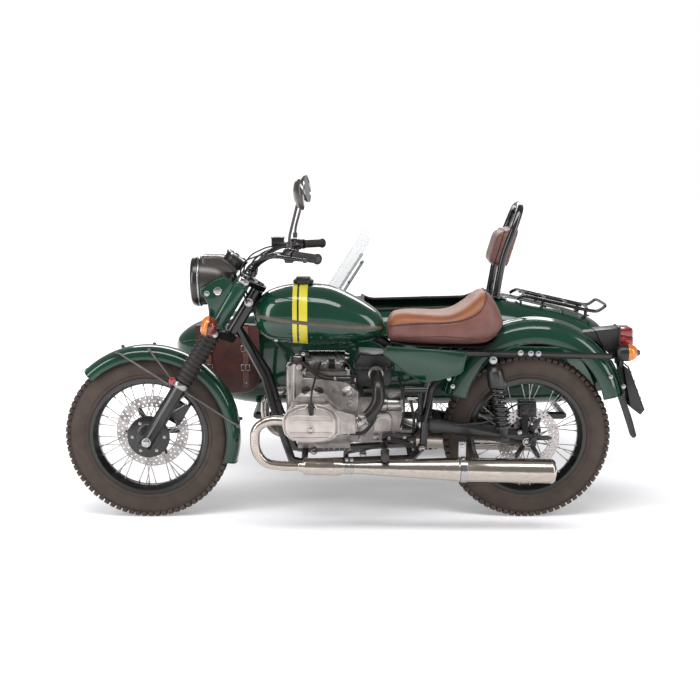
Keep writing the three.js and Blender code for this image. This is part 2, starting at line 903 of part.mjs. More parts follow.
// Airbox with the two inlet bends down to the heads.
const inletY = 300;
function airIntake() {
  const box = plate(
    [
      [22, 572],
      [160, 566],
      [170, 640],
      [170, 696],
      [40, 702],
      [20, 660],
    ],
    -84,
    84,
    8,
  );
  const pieces = [box];
  for (const s of [-1, 1]) {
    const bend = [
      V(100, s * 76, 628),
      V(104, s * 160, 626),
      V(112, s * 230, 606),
      V(110, s * 272, 566),
      V(84, s * 290, 514),
      V(58, s * inletY, 480),
      V(34, s * inletY, 468),
    ];
    pieces.push(tubes(bend, 24, 8));
    pieces.push(bar(V(20 + gap, s * inletY, 466), V(44, s * inletY, 466), 27, 27, 12));
    pieces.push(bar(V(48, s * inletY, 474), V(70, s * (inletY - 4), 498), 32, 32, 12));
  }
  return join(pieces);
}

// ---------------------------------------------------------------- exhausts
function exhaust() {
  const y = exhaustOffset;
  const port = -248 - gap;
  const pipe = tubes(
    [
      V(port - 10, 300, 470),
      V(port - 44, 300, 471),
      V(port - 84, 299, 456),
      V(port - 112, 297, 424),
      V(port - 122, 294, 380),
      V(port - 110, 290, 332),
      V(port - 80, 283, 298),
      V(port - 38, y + 14, 280),
      V(-196, y, 276),
      V(-170, y, 275.5),
    ],
    21,
    10,
  );
  const flange = bar(V(port, 300, 470), V(port - 16, 300, 470), 25, 25, 12);
  // one turned shell on a line that falls a little towards the back
  const front = V(-109, y, 274.5);
  const line = V(620, y, 259.5).sub(front);
  const r = silencerRadius;
  const wall = 3;
  const shell = turned(
    [
      [0, -90],
      [22, -90],
      [34, -72],
      [34, 68],
      [25, 96],
      [25, 124],
      [r, 532],
      [r, 914],
      [r - 6, 926],
      [20, 928],
      [20, 912],
      [r - wall, 912],
      [r - wall, 545],
      [0, 545],
    ],
    front,
    line,
    10,
  );
  const x = 446;
  const strap = turned(sleeve(r - 2, r + 4, 540, 572), front, line, 10);
  const bracket = plate(
    [
      [x - 20, 256],
      [x + 20, 256],
      [x + 14, 376],
      [x - 12, 376],
    ],
    y - r - 6,
    y - r + 4,
  );
  return cut(join(pipe, flange, shell, strap, bracket), bar(V(x - 30, y, 260), V(x + 100, y, 260), r - 12));
}

// ---------------------------------------------------------------- tank, saddle and panels
// Sections: x, half width, height of the side seam, top and bottom.
const tankSections = [
  [-394, 34, 858, 890, 826],
  [-372, 74, 856, 918, 792],
  [-329, 108, 852, 950, 752],
  [-234, 142, 842, 976, 738],
  [-152, 152, 834, 977, 730],
  [-60, 148, 824, 966, 728],
  [25, 126, 815, 923, 744],
  [90, 98, 808, 882, 756],
  [140, 66, 804, 838, 770],
];
function tankLoft(shrink, openBelow) {
  const sections = tankSections.map(([x, half, seam, top, bottom], i) => {
    const ends = i === 0 ? shrink : i === tankSections.length - 1 ? -shrink : 0;
    const floor = openBelow ? bottom - 90 : bottom;
    return {
      x: x + ends,
      ring: oval(14, 0, half - shrink, seam, top - shrink, floor, 2.4),
    };
  });
  return loft(sections);
}

function tank() {
  const headRoom = bar(headAt(headTube[0] - 40), headAt(headTube[1] + 60), 34, 34, 14);
  const clampRoom = new THREE.CylinderGeometry(60, 60, 60, 16)
    .rotateX(Math.PI / 2)
    .translate(steeringOffset, 0, (upperClamp[0] + upperClamp[1]) / 2)
    .applyMatrix4(forkFrame);
  const tunnel = tankLoft(bodyWall, true);
  const underside = block(-420, 170, -100, 100, 600, 742);
  const spine = block(40, 200, -40, 40, 700, 812);
  const room = backboneRadius + 4;
  const nose = bar(headAt(headTube[0] + 125), V(-250, 0, 850), room, room, 8);
  return cut(tankLoft(0, false), tunnel, headRoom, clampRoom, underside, spine, nose);
}

const capX = -191;
function fuelCap() {
  return turned(
    [
      [0, 0],
      [36, 0],
      [40, 6],
      [40, 18],
      [34, 24],
      [0, 26],
    ],
    V(capX, 0, 978 + gap),
    V(0, 0, 1),
    20,
  );
}

const seatBase = railRadius + 718 + 2;
function saddle() {
  const sections = [
    [150, 64, 790, 842, 752],
    [180, 96, 790, 866, 742],
    [270, 128, 780, 874, seatBase],
    [366, 144, 780, 872, seatBase],
    [450, 152, 790, 896, seatBase],
    [520, 156, 800, 948, seatBase],
    [560, 150, 810, 954, 736],
    [600, 136, 815, 900, 762],
    [622, 110, 820, 850, 796],
  ].map(([x, half, waist, top, bottom]) => ({ x, ring: oval(14, 0, half, waist, top, bottom, 3) }));
  return cut(loft(sections), guardRoom(3));
}

function sidePanel() {
  return plate(
    [
      [146, 742],
      [473, 722],
      [456, 640],
      [368, 604],
      [294, 594],
      [231, 627],
      [132, 712],
    ],
    148,
    154,
  );
}

// ---------------------------------------------------------------- rear guard and lamps
const guardRise = [22, 111]; // of the guard's centre over the axle, for the wheel's travel
const rearGuardRadius = tyreRadius + 42;
const rearGuardHalf = 88;
// The round space that the rear guard fills, with a margin.
function guardRoom(margin) {
  const half = rearGuardHalf + margin;
  const x = rearAxleX + guardRise[0];
  const z = axleHeight + guardRise[1];
  const radius = rearGuardRadius + margin;
  return bar(V(x, -half, z), V(x, half, z), radius, radius, 40);
}

function rearMudguard() {
  const x = rearAxleX + guardRise[0];
  const z = axleHeight + guardRise[1];
  const section = guardSection(rearGuardRadius, rearGuardHalf, tyreRadius - 60, 2);
  const sweep = arcSweep(section, x, z, 0, 11, 168, 14);
  // struts out to the rails
  const struts = [-1, 1].flatMap((s) => [
    bar(V(950, s * (rearGuardHalf - 1), 698), V(950, s * (railSpacing / 2 - railRadius - 3), 698), 7, 7, 8),
    bar(V(560, s * (rearGuardHalf - 1), 706), V(560, s * (railSpacing / 2 - railRadius - 3), 706), 7, 7, 8),
  ]);
  return join(sweep, struts);
}

// Number plate arm with the flap under it.
function plateBracket() {
  const arm = plate(
    [
      [1118, 648],
      [1134, 640],
      [1206, 462],
      [1192, 446],
      [1150, 478],
    ],
    -84,
    84,
  );
  return join(arm, block(1106, 1124, -50, 50, 640, 684));
}

// Tail lamp on its black bracket, with the left indicator.
function tailLamp() {
  const lamp = block(1100, 1160, -48, 48, 728, 800);
  const arm = plate(
    [
      [870, 760],
      [884, 774],
      [1100, 796],
      [1100, 716],
      [1040, 716],
    ],
    -30,
    30,
  );
  const indicator = turned(
    [
      [0, -34],
      [24, -32],
      [34, -24],
      [34, 10],
      [26, 26],
      [8, 34],
      [0, 38],
    ],
    V(1128, -118, 711),
    V(1, 0, 0),
    14,
  );
  const stalk = bar(V(1110, -20, 730), V(1110, -118, 711), 8, 8, 8);
  return cut(join(lamp, arm, indicator, stalk), guardRoom(3));
}

// ---------------------------------------------------------------- swinging arm and dampers
const armInner = 100;
const armOuter = 117;
function swingingArm() {
  const [px, pz] = swingPivot;
  const eye = (s) =>
    turned(sleeve(10 + 2 * gap, 24, s * (armInner - 18), s * (armInner + 4)), V(px, 0, pz), V(0, 1, 0), 10);
  const outline = [
    [px + 20, pz + 24],
    [damperFoot[0], axleHeight + 54],
    [rearAxleX + 28, axleHeight + 22],
    [rearAxleX + 28, axleHeight - 22],
    [damperFoot[0], axleHeight - 8],
    [px + 20, pz - 24],
  ];
  const pieces = [-1, 1].map(eye);
  pieces.push(plate(outline, -armOuter, -armInner + 10));
  pieces.push(bar(V(px + 34, 90, pz), V(rearAxleX - 40, 90, axleHeight), 24, 28, 8));
  pieces.push(bar(V(rearAxleX, 66, axleHeight), V(rearAxleX, 126, axleHeight), 76, 64, 12));
  pieces.push(bar(V(px + 66, -112, pz - 6), V(px + 66, 104, pz - 6), 20, 20, 6));
  for (const s of [-1, 1]) pieces.push(bar(V(px + 6, s * 92, pz), V(px + 60, s * 96, pz - 4), 18, 20, 6));
  pieces.push(bar(V(rearAxleX, -136, axleHeight), V(rearAxleX, 136, axleHeight), axleRadius));
  pieces.push(bar(V(rearAxleX, 46, axleHeight), V(rearAxleX, 80, axleHeight), 18, 18, 8));
  pieces.push(bar(V(rearAxleX, -96, axleHeight), V(rearAxleX, -70, axleHeight), 18, 18, 8));
  const pin = damperSpacing / 2 + 16;
  for (const s of [-1, 1]) {
    const [x, z] = damperFoot;
    pieces.push(bar(V(x, s * 104, z), V(x, s * pin, z), 7, 7, 8));
  }
  // rear caliper on top of the arm, astride the disc
  const [discNear, discFar] = [rearDiscY - 26, rearDiscY + 20];
  const caliper = block(rearAxleX - 44, rearAxleX + 26, discNear, discFar, axleHeight + 92, axleHeight + 160);
  const hangerTop = axleHeight + 110;
  const hangerFoot = axleHeight + 20;
  const hanger = block(rearAxleX - 30, rearAxleX - 6, -armInner - 8, rearDiscY - 14, hangerFoot, hangerTop);
  const discRoom = turned(
    sleeve(24, rearDiscRadius + 5, rearDiscY - 4, rearDiscY + 4),
    V(rearAxleX, 0, axleHeight),
    V(0, 1, 0),
    18,
  );
  const wheelRoom = turned(
    sleeve(axleRadius - 3, 62, -44 - gap, 44 + gap),
    V(rearAxleX, 0, axleHeight),
    V(0, 1, 0),
    10,
  );
  const pivotBore = bar(V(px, -140, pz), V(px, 140, pz), 10 + 2 * gap);
  const body = cut(join(pieces, cut(join(caliper, hanger), discRoom)), pivotBore, wheelRoom);
  const axle = bar(V(rearAxleX, -120, axleHeight), V(rearAxleX, 120, axleHeight), axleRadius);
  return join(body, axle);
}

// A damper in its own line: z runs from its foot up to its top eye.
const damperLine = V(damperTop[0] - damperFoot[0], 0, damperTop[1] - damperFoot[1]);
const damperLength = damperLine.length();
function damperUpper() {
  const eye = turned(sleeve(7 + gap, 16, -12, 12), V(0, 0, damperLength), V(0, 1, 0), 12);
  const can = turned(
    [
      [0, damperLength - 40],
      [22, damperLength - 40],
      [34, damperLength - 46],
      [36, damperLength - 108],
      [26, damperLength - 108],
      [26, damperLength - 60],
      [0, damperLength - 60],
    ],
    V(0, 0, 0),
    V(0, 0, 1),
    16,
  );
  const neck = bar(V(0, 0, damperLength - 50), V(0, 0, damperLength - 12), 11, 11, 10);
  const rod = bar(V(0, 0, 150), V(0, 0, damperLength - 50), 7, 7, 8);
  return join(eye, can, neck, rod);
}

// Lower eye, body and the spring round it, drawn as turned coils.
function damperLower() {
  const eye = turned(sleeve(7 + 3 * gap, 17, -12, 12), V(0, 0, 0), V(0, 1, 0), 12);
  const coils = 3;
  const from = 62;
  const to = damperLength - 112;
  const pitch = (to - from) / coils;
  const profile = [[0, 14], [17, 14], [20, 44], [31, 46], [31, 56], [20, 58]];
  for (let i = 0; i < coils; i++) {
    const at = from + i * pitch;
    profile.push([20, at], [29, at + 4], [29, at + 12], [20, at + 16]);
  }
  profile.push([20, to], [12, to], [12, 90], [0, 90]);
  return join(eye, turned(profile, V(0, 0, 0), V(0, 0, 1), 8), bar(V(0, 0, 10), V(0, 0, 18), 15, 15, 10));
}

function addDamper(label, side) {
  const damper = new THREE.Group();
  damper.position.set(damperFoot[0], (side * damperSpacing) / 2, damperFoot[1]);
  damper.rotation.y = Math.atan2(damperLine.x, damperLine.z);
  machine.add(damper);
  addMesh(damper, "damper_upper_" + label, damperUpper(), colours.black, 0.5, 0.4);
  addMesh(damper, "damper_lower_" + label, damperLower(), colours.black, 0.5, 0.4);
}

// ---------------------------------------------------------------- foot controls
function kickstarter() {
  const arm = tubes(
    [V(281, -118, 463), V(281, -166, 466), V(281, -176, 500), V(281, -206, 577)],
    9,
    8,
  );
  const pedal = bar(V(217, -208, 577), V(306, -208, 577), 12, 12, 10);
  return join(arm, pedal, bar(V(272, -118, 463), V(290, -118, 463), 14, 14, 10));
}

function gearPedal() {
  const [x, y, z] = gearPivot;
  const arm = tubes([V(x - 8, y, z), V(60, -170, 322), V(-10, -182, 312)], 7);
  const pad = bar(V(-16, -178, 311), V(-16, -236, 311), 11, 11, 10);
  const boss = bar(V(x, y - 10, z), V(x, y + 10, z), 15, 15, 10);
  const hole = bar(V(x, y - 20, z), V(x, y + 20, z), 7 + gap, 7 + gap, 10);
  return cut(join(arm, pad, boss), hole);
}

// ---------------------------------------------------------------- sidecar
// Sections: x, half width, bottom and top.
const bodySections = [
  [-815, 26, 566, 632],
  [-796, 78, 520, 664],
  [-740, 140, 456, 706],
  [-630, 196, 392, 744],
  [-470, 236, 352, 776],
  [-220, 252, 346, 812],
  [60, 257, 346, 836],
  [400, 258, 346, 842],
  [690, 256, 346, 852],
  [900, 246, 348, 812],
  [1060, 220, 362, 770],
  [1150, 176, 400, 726],
  [1184, 130, 440, 690],
];
function bodyLoft(grow) {
  return loft(
    bodySections.map(([x, half, bottom, top], i) => {
      const ends = i === 0 ? -grow : i === bodySections.length - 1 ? grow : 0;
      const waist = (bottom + top) / 2;
      return {
        x: x + ends,
        ring: oval(14, bodyMiddle, half + grow, waist, top + grow, bottom - grow, 3.2),
      };
    }),
  );
}

const cockpit = [60, 600, 196]; // from x, to x, half width
const trunk = [722, 1090, 168];
const cockpitHole = () =>
  slabHole([
    [cockpit[0], -cockpit[2] + 90],
    [cockpit[0] + 90, -cockpit[2]],
    [cockpit[1] - 40, -cockpit[2]],
    [cockpit[1], -cockpit[2] + 40],
    [cockpit[1], cockpit[2] - 40],
    [cockpit[1] - 40, cockpit[2]],
    [cockpit[0] + 90, cockpit[2]],
    [cockpit[0], cockpit[2] - 90],
  ]);
const trunkHole = (grow) =>
  slabHole([
    [trunk[0] - grow, -trunk[2] - grow],
    [trunk[1] + grow, -trunk[2] - grow],
    [trunk[1] + grow, trunk[2] + grow],
    [trunk[0] - grow, trunk[2] + grow],
  ]);
function slabHole(outline) {
  const shape = new THREE.Shape(outline.map(([x, y]) => new THREE.Vector2(x, y + bodyMiddle)));
  return new THREE.ExtrudeGeometry(shape, { depth: 260, bevelEnabled: false }).translate(0, 0, 660);
}

function sidecarBody() {
  return cut(bodyLoft(0), bodyLoft(-bodyWall), cockpitHole(), trunkHole(2));
}

function trunkLid() {
  return overlapOf(cut(bodyLoft(0), bodyLoft(-bodyWall)), trunkHole(0));
}

function luggageRack() {
  const near = bodyMiddle - 122;
  const far = bodyMiddle + 122;
  const rail = (y) => [
    V(770, y, 846),
    V(790, y, 860),
    V(1090, y, 792),
    V(1140, y, 786),
    V(1172, y, 806),
  ];
  const pieces = [tubes(rail(near), 8, 6), tubes(rail(far), 8, 6)];
  for (const [x, z] of [
    [790, 860],
    [890, 837.3],
    [990, 814.7],
    [1090, 792],
    [1172, 806],
  ])
    pieces.push(bar(V(x, near, z), V(x, far, z), 7, 7, 6));
  for (const y of [near + 20, far - 20])
    for (const [x, z] of [
      [890, 837.3],
      [1090, 792],
    ])
      pieces.push(bar(V(x, y, z - 60), V(x, y, z), 9, 9, 5));
  return cut(join(pieces), bodyLoft(gap));
}

const hoopRadius = 17;
const hoopHalf = 125;
function hoopTubes(radius) {
  const leg = (s) => [
    V(668, bodyMiddle + s * hoopHalf, 800),
    V(700, bodyMiddle + s * hoopHalf, 1040),
    V(752, bodyMiddle + s * (hoopHalf - 4), 1180),
    V(774, bodyMiddle + s * (hoopHalf - 34), 1252),
    V(780, bodyMiddle + s * (hoopHalf - 80), 1264),
  ];
  return tubes([...leg(-1), ...leg(1).reverse()], radius, 10);
}

function rollHoop() {
  const feet = [-1, 1].map((s) => {
    const y = bodyMiddle + s * hoopHalf;
    return bar(V(668, y, 800), V(672, y, 862), 28, 28, 12);
  });
  return cut(join(hoopTubes(hoopRadius), feet), bodyLoft(gap));
}

function headPad() {
  const sections = [
    [640, 84, 1076, 1130, 1020],
    [656, 118, 1074, 1152, 994],
    [684, 124, 1074, 1158, 990],
  ].map(([x, half, waist, top, bottom]) => ({ x, ring: oval(12, bodyMiddle, half, waist, top, bottom, 4) }));
  const lean = new THREE.Matrix4().makeShear(0, 0, 0, 0, 0.3, 0);
  const pad = loft(sections).translate(0, 0, -990).applyMatrix4(lean).translate(0, 0, 990);
  return cut(pad, hoopTubes(hoopRadius + 2));
}

// A curved screen: its plan is an arc, and it leans back. across runs from -1 to 1.
const screenHalf = 222;
function screenPoint(across, z, back) {
  const lean = 0.64;
  const crown = (1 - across * across) * 84;
  const narrowing = 1 - (z - 820) / 2600;
  return V(-56 + (z - 845) * lean - crown + back, bodyMiddle + across * screenHalf * narrowing, z);
}

function windshield() {
  const across = arcPoints(10, -1, 1);
  const heights = [820, 940, 1060, 1158];
  const drop = (s, z) => z - Math.max(0, z - 1060) * 0.8 * s * s;
  const rings = heights.map((z) => [
    ...across.map((s) => screenPoint(s, drop(s, z), 0)),
    ...across.toReversed().map((s) => screenPoint(s, drop(s, z), 5)),
  ]);
  const outline = (r) => rings[r].map((p) => new THREE.Vector2(p.y, p.x));
  const struts = [-0.93, 0.93].map((s) =>
    bar(screenPoint(s, 832, 8), screenPoint(s, 1030, 8), 6, 6, 8),
  );
  return cut(join(skin(rings, outline), struts), bodyLoft(gap));
}

function sidecarSeat() {
  const outline = [
    [210, 440],
    [210, 516],
    [250, 530],
    [500, 512],
    [560, 790],
    [610, 800],
    [640, 560],
    [600, 440],
  ];
  return plate(outline, bodyMiddle - 196, bodyMiddle + 196, 20);
}

function sideBag() {
  const outline = [
    [-700, 560],
    [-680, 720],
    [-640, 744],
    [-430, 760],
    [-404, 740],
    [-396, 460],
    [-420, 428],
    [-640, 440],
    [-690, 480],
  ];
  return cut(plate(outline, 392, 560, 12), bodyLoft(2));
}

const sideGuardRadius = tyreRadius + 30;
function sidecarMudguard() {
  const section = guardSection(sideGuardRadius, tyreWidth / 2 + 22, tyreRadius - 30, 2);
  const sweep = arcSweep(section, sidecarAxleX, axleHeight + 70, sidecarTrack, 2, 178, 14);
  const inner = sidecarTrack - tyreWidth / 2 - 22;
  const brackets = [120, 660].map((x) =>
    bar(V(x, inner + 1, 600), V(x, inner - 40, 600), 8, 8, 8),
  );
  return join(sweep, brackets);
}

const chassisZ = 316;
const armPivotX = 130;
function sidecarChassis() {
  const near = bodyMiddle - 214;
  const far = bodyMiddle + 214;
  const pieces = [];
  for (const y of [near, far]) pieces.push(bar(V(-430, y, chassisZ), V(980, y, chassisZ), 18, 18, 6));
  for (const x of [-430, 360, 980]) pieces.push(bar(V(x, near, chassisZ), V(x, far, chassisZ), 16, 16, 6));
  pieces.push(bar(V(armPivotX, near, chassisZ), V(armPivotX, 1010, chassisZ), 18, 18, 6));
  pieces.push(bar(V(armPivotX, 1008, chassisZ), V(armPivotX, 1064, chassisZ), 10, 10, 16));
  // arms to the motorcycle's frame
  const half = railSpacing / 2;
  const frontLink = [V(-100, near, chassisZ), V(-100, 330, 340), V(-100, 140, 340), V(-100, 126 + gap, 277)];
  pieces.push(tubes(frontLink, 14));
  pieces.push(tubes([V(360, near, chassisZ), V(360, 330, 338), V(330, 150, 350)], 14, 6));
  pieces.push(tubes([V(-350, near, chassisZ), V(-350, near - 18, 330), V(frontAxleX + 440, 68, 690)], 10, 6));
  pieces.push(tubes([V(360, near, chassisZ), V(366, near - 60, 370), V(352, 158, 552)], 10, 6));
  // upright for the damper and the mudguard
  const upright = [
    V(armPivotX, 990, chassisZ),
    V(armPivotX, 992, 600),
    V(660, 992, 600),
    V(660, 992, 400),
    V(660, far, chassisZ),
  ];
  pieces.push(tubes(upright, 12));
  pieces.push(bar(V(330, 992, 600), V(330, 1040, 596), 8, 8, 6));
  return join(pieces);
}

function sidecarArm() {
  const y = 1036;
  const eye = turned(sleeve(10 + gap, 24, y - 14, y + 14), V(armPivotX, 0, chassisZ), V(0, 1, 0), 16);
  const arm = bar(V(armPivotX + 16, y, chassisZ + 2), V(sidecarAxleX, y, axleHeight), 17, 15, 12);
  const axle = (to) => V(sidecarAxleX, to, axleHeight);
  const stub = bar(axle(y), axle(sidecarTrack + 56), axleRadius, axleRadius, 16);
  const shoulder = bar(axle(y), axle(sidecarTrack - 46), 20, 20, 12);
  return join(eye, arm, stub, shoulder);
}

function sidecarDamper() {
  return join(
    bar(V(330, 1036, 574), V(334, 1036, 470), 24, 24, 12),
    bar(V(334, 1036, 480), V(338, 1036, 372), 13, 13, 12),
  );
}

// ---------------------------------------------------------------- assembly
function build() {
  addWheel("front", frontAxleX, 0, frontDiscRadius, frontDiscY);
  addWheel("rear", rearAxleX, 0, rearDiscRadius, rearDiscY);
  addWheel("sidecar", sidecarAxleX, sidecarTrack, 0, 0);
  buildFork();
  buildSteering();
  addMesh(machine, "main_frame", frame(), colours.black, 0.3, 0.5);
  addMesh(machine, "engine_block", engineBlock(), colours.silver, 0.5, 0.5);
  addMesh(machine, "cylinder_right", cylinder(), colours.silver, 0.5, 0.5);
  addMesh(machine, "cylinder_left", flipY(cylinder()), colours.silver, 0.5, 0.5);
  addMesh(machine, "valve_cover_right", valveCover(), colours.silver, 0.5, 0.4);
  addMesh(machine, "valve_cover_left", flipY(valveCover()), colours.silver, 0.5, 0.4);
  addMesh(machine, "dynamo", dynamo(), colours.silver, 0.5, 0.5);
  addMesh(machine, "air_intake", airIntake(), colours.black, 0.1, 0.6);
  addMesh(machine, "exhaust_right", exhaust(), colours.steel, 0.9, 0.2);
  addMesh(machine, "exhaust_left", flipY(exhaust()), colours.steel, 0.9, 0.2);
  addMesh(machine, "fuel_tank", tank(), colours.green, 0, 0.2);
  addMesh(machine, "fuel_cap", fuelCap(), colours.black, 0.2, 0.5);
  addMesh(machine, "saddle", saddle(), colours.leather, 0, 0.6);
  addMesh(machine, "side_panel_right", sidePanel(), colours.green, 0, 0.2);
  addMesh(machine, "side_panel_left", flipY(sidePanel()), colours.green, 0, 0.2);
  addMesh(machine, "rear_mudguard", rearMudguard(), colours.green, 0, 0.2);
  addMesh(machine, "plate_bracket", plateBracket(), colours.black, 0, 0.5);
  addMesh(machine, "tail_lamp", tailLamp(), colours.red, 0, 0.3);
  addMesh(machine, "swinging_arm", swingingArm(), colours.black, 0.3, 0.5);
  addDamper("left", -1);
  addDamper("right", 1);
  addMesh(machine, "kickstarter", kickstarter(), colours.black, 0.5, 0.4);
  addMesh(machine, "gear_pedal", gearPedal(), colours.black, 0.5, 0.4);
  addMesh(machine, "sidecar_body", sidecarBody(), colours.green, 0, 0.2);
  addMesh(machine, "trunk_lid", trunkLid(), colours.green, 0, 0.2);
  addMesh(machine, "luggage_rack", luggageRack(), colours.black, 0.3, 0.4);
  addMesh(machine, "roll_hoop", rollHoop(), colours.black, 0.3, 0.4);
  addMesh(machine, "head_pad", headPad(), colours.leather, 0, 0.6);
  addMesh(machine, "windshield", windshield(), colours.clear, 0, 0.1);
  addMesh(machine, "sidecar_seat", sidecarSeat(), colours.leather, 0, 0.6);
  addMesh(machine, "side_bag", sideBag(), colours.leather, 0, 0.6);
  addMesh(machine, "sidecar_mudguard", sidecarMudguard(), colours.green, 0, 0.2);
  addMesh(machine, "sidecar_chassis", sidecarChassis(), colours.black, 0.3, 0.5);
  addMesh(machine, "sidecar_arm", sidecarArm(), colours.black, 0.3, 0.5);
  addMesh(machine, "sidecar_damper", sidecarDamper(), colours.black, 0.3, 0.5);
}
build();

// The origin is on the ground, under the middle of the whole machine.
machine.updateMatrixWorld(true);
const box = new THREE.Box3().setFromObject(machine, true);
const middle = box.getCenter(V(0, 0, 0));
machine.position.set(-middle.x, -middle.y, -box.min.z);
machine.updateMatrixWorld(true);

export default machine;
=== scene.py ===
"""A heavy touring motorcycle with a sidecar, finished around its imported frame."""
import math

import bmesh
import bpy
from mathutils import Matrix, Vector


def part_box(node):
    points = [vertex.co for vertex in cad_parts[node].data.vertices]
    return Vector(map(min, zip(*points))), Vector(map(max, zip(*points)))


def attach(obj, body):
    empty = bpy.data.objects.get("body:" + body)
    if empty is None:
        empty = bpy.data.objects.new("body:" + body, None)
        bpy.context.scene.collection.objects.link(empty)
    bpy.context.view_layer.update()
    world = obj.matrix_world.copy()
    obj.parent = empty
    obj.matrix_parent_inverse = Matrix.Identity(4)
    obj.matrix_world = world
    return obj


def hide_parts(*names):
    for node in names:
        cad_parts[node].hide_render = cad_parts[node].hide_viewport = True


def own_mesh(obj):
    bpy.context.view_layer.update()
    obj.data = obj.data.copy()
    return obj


bl_info = {
    "name": "Sidecar motorcycle",
    "version": (1, 0, 0),
    "blender": (4, 5, 0),
    "location": "3D View > Sidebar > Motorcycle",
    "description": "Builds the finished surfaces of a sidecar motorcycle around its frame",
    "category": "Object",
}

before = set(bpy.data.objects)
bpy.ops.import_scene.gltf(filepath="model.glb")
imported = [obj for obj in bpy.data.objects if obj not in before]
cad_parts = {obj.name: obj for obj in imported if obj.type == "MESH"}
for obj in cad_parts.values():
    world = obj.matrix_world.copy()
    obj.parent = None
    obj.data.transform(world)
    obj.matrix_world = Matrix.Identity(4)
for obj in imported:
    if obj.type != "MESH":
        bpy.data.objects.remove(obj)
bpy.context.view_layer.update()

# ------------------------------------------------------------------ places
# Lengths in this file are millimetres in the machine's own axes: x runs back from a point 735 mm
# ahead of the rear axle, y runs from the middle plane to the sidecar, z runs up from the ground.
REAR_LOW, REAR_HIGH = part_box("rear_tyre")
REAR_AXLE = (REAR_LOW + REAR_HIGH) / 2
REAR_AXLE_X = 735.0
ORIGIN = Vector((REAR_AXLE.x - REAR_AXLE_X / 1000, REAR_AXLE.y, 0))
RAKE = math.radians(31.4)
LEG_TRAIL = 6.0  # from the front axle back to the legs' line
UP_LEG = Vector((math.sin(RAKE), 0, math.cos(RAKE)))
BACK = Vector((math.cos(RAKE), 0, -math.sin(RAKE)))


def at(x, y, z):
    """A point of the machine, in metres of the frame."""
    return ORIGIN + Vector((x, y, z)) / 1000


def middle(node):
    """The middle of a frame solid's box, in the machine's millimetres."""
    low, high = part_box(node)
    return ((low + high) / 2 - ORIGIN) * 1000


def leg_point(along, y=0.0, back=0.0):
    """A point on a fork leg: along is up the leg from the front axle, back is behind the legs."""
    axle = middle("front_tyre")
    return axle + UP_LEG * along + BACK * (back + LEG_TRAIL) + Vector((0, y, 0))


# ------------------------------------------------------------------ selecting and finishing
def deselect():
    if bpy.context.mode != "OBJECT":
        bpy.ops.object.mode_set(mode="OBJECT")
    bpy.ops.object.select_all(action="DESELECT")


def activate(*pieces):
    deselect()
    for piece in pieces:
        piece.select_set(True)
    bpy.context.view_layer.objects.active = pieces[0]
    return pieces[0]


def edit_all(piece):
    activate(piece)
    bpy.ops.object.mode_set(mode="EDIT")
    bpy.ops.mesh.select_all(action="SELECT")


def settle(piece):
    """Puts a piece's place into its mesh."""
    activate(piece)
    bpy.ops.object.mode_set(mode="OBJECT")
    bpy.ops.object.transform_apply(location=True, rotation=True, scale=True)
    return piece


def modify(piece, kind, **settings):
    """Adds a modifier and applies it."""
    activate(piece)
    modifier = piece.modifiers.new(kind.title(), kind)
    for key, value in settings.items():
        setattr(modifier, key, value)
    bpy.ops.object.modifier_apply(modifier=modifier.name)
    return piece


def round_edges(piece, width, segments=2, angle=35):
    return modify(piece, "BEVEL", width=width / 1000, segments=segments, limit_method="ANGLE",
                  angle_limit=math.radians(angle), use_clamp_overlap=True)


def subdivide(piece, levels=2):
    return modify(piece, "SUBSURF", levels=levels, render_levels=levels)


def weld(piece):
    edit_all(piece)
    bpy.ops.mesh.remove_doubles(threshold=1e-5)
    bpy.ops.mesh.normals_make_consistent(inside=False)
    bpy.ops.object.mode_set(mode="OBJECT")
    return piece


def joined(pieces):
    for piece in pieces:
        settle(piece)
    activate(*pieces)
    if len(pieces) > 1:
        bpy.ops.object.join()
    return bpy.context.object


def finish(piece, name, body, material, replaces=(), smooth=35):
    """Names a piece, gives it the finish called material and lets it move with its body."""
    settle(piece)
    piece.name = name
    piece.data.name = name
    piece.data.materials.clear()
    piece.data.materials.append(FINISH[material])
    if smooth:
        bpy.ops.object.shade_smooth_by_angle(angle=math.radians(smooth))
    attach(piece, body)
    if replaces:
        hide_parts(*replaces)
    return piece


# ------------------------------------------------------------------ shapes
def surface(around, along, shape, wrap=True, caps=True, wall=0.0, levels=0):
    """A skin made from a grid: shape(u, v) places each point, u round it and v along it, 0 to 1."""
    deselect()
    bpy.ops.mesh.primitive_grid_add(x_subdivisions=around, y_subdivisions=along, size=1)
    piece = bpy.context.object
    for vertex in piece.data.vertices:
        u, v = vertex.co.x + 0.5, vertex.co.y + 0.5
        if wrap and u > 1 - 1e-6:
            u = 0.0
        vertex.co = at(*shape(u, v))
    edit_all(piece)
    bpy.ops.mesh.remove_doubles(threshold=1e-5)
    if caps:
        bpy.ops.mesh.select_all(action="SELECT")
        bpy.ops.mesh.fill_holes(sides=0)
        bpy.ops.mesh.select_all(action="SELECT")
    bpy.ops.mesh.normals_make_consistent(inside=False)
    bpy.ops.object.mode_set(mode="OBJECT")
    if wall:
        modify(piece, "SOLIDIFY", thickness=wall / 1000, offset=-1, use_even_offset=True)
    if levels:
        subdivide(piece, levels)
    return piece


def along_points(points, v):
    """The point at share v of a list of points, straight between them."""
    place = v * (len(points) - 1)
    index = min(int(place + 1e-6), len(points) - 2)
    share = place - index
    first, second = points[index], points[index + 1]
    return tuple(a + (b - a) * share for a, b in zip(first, second))


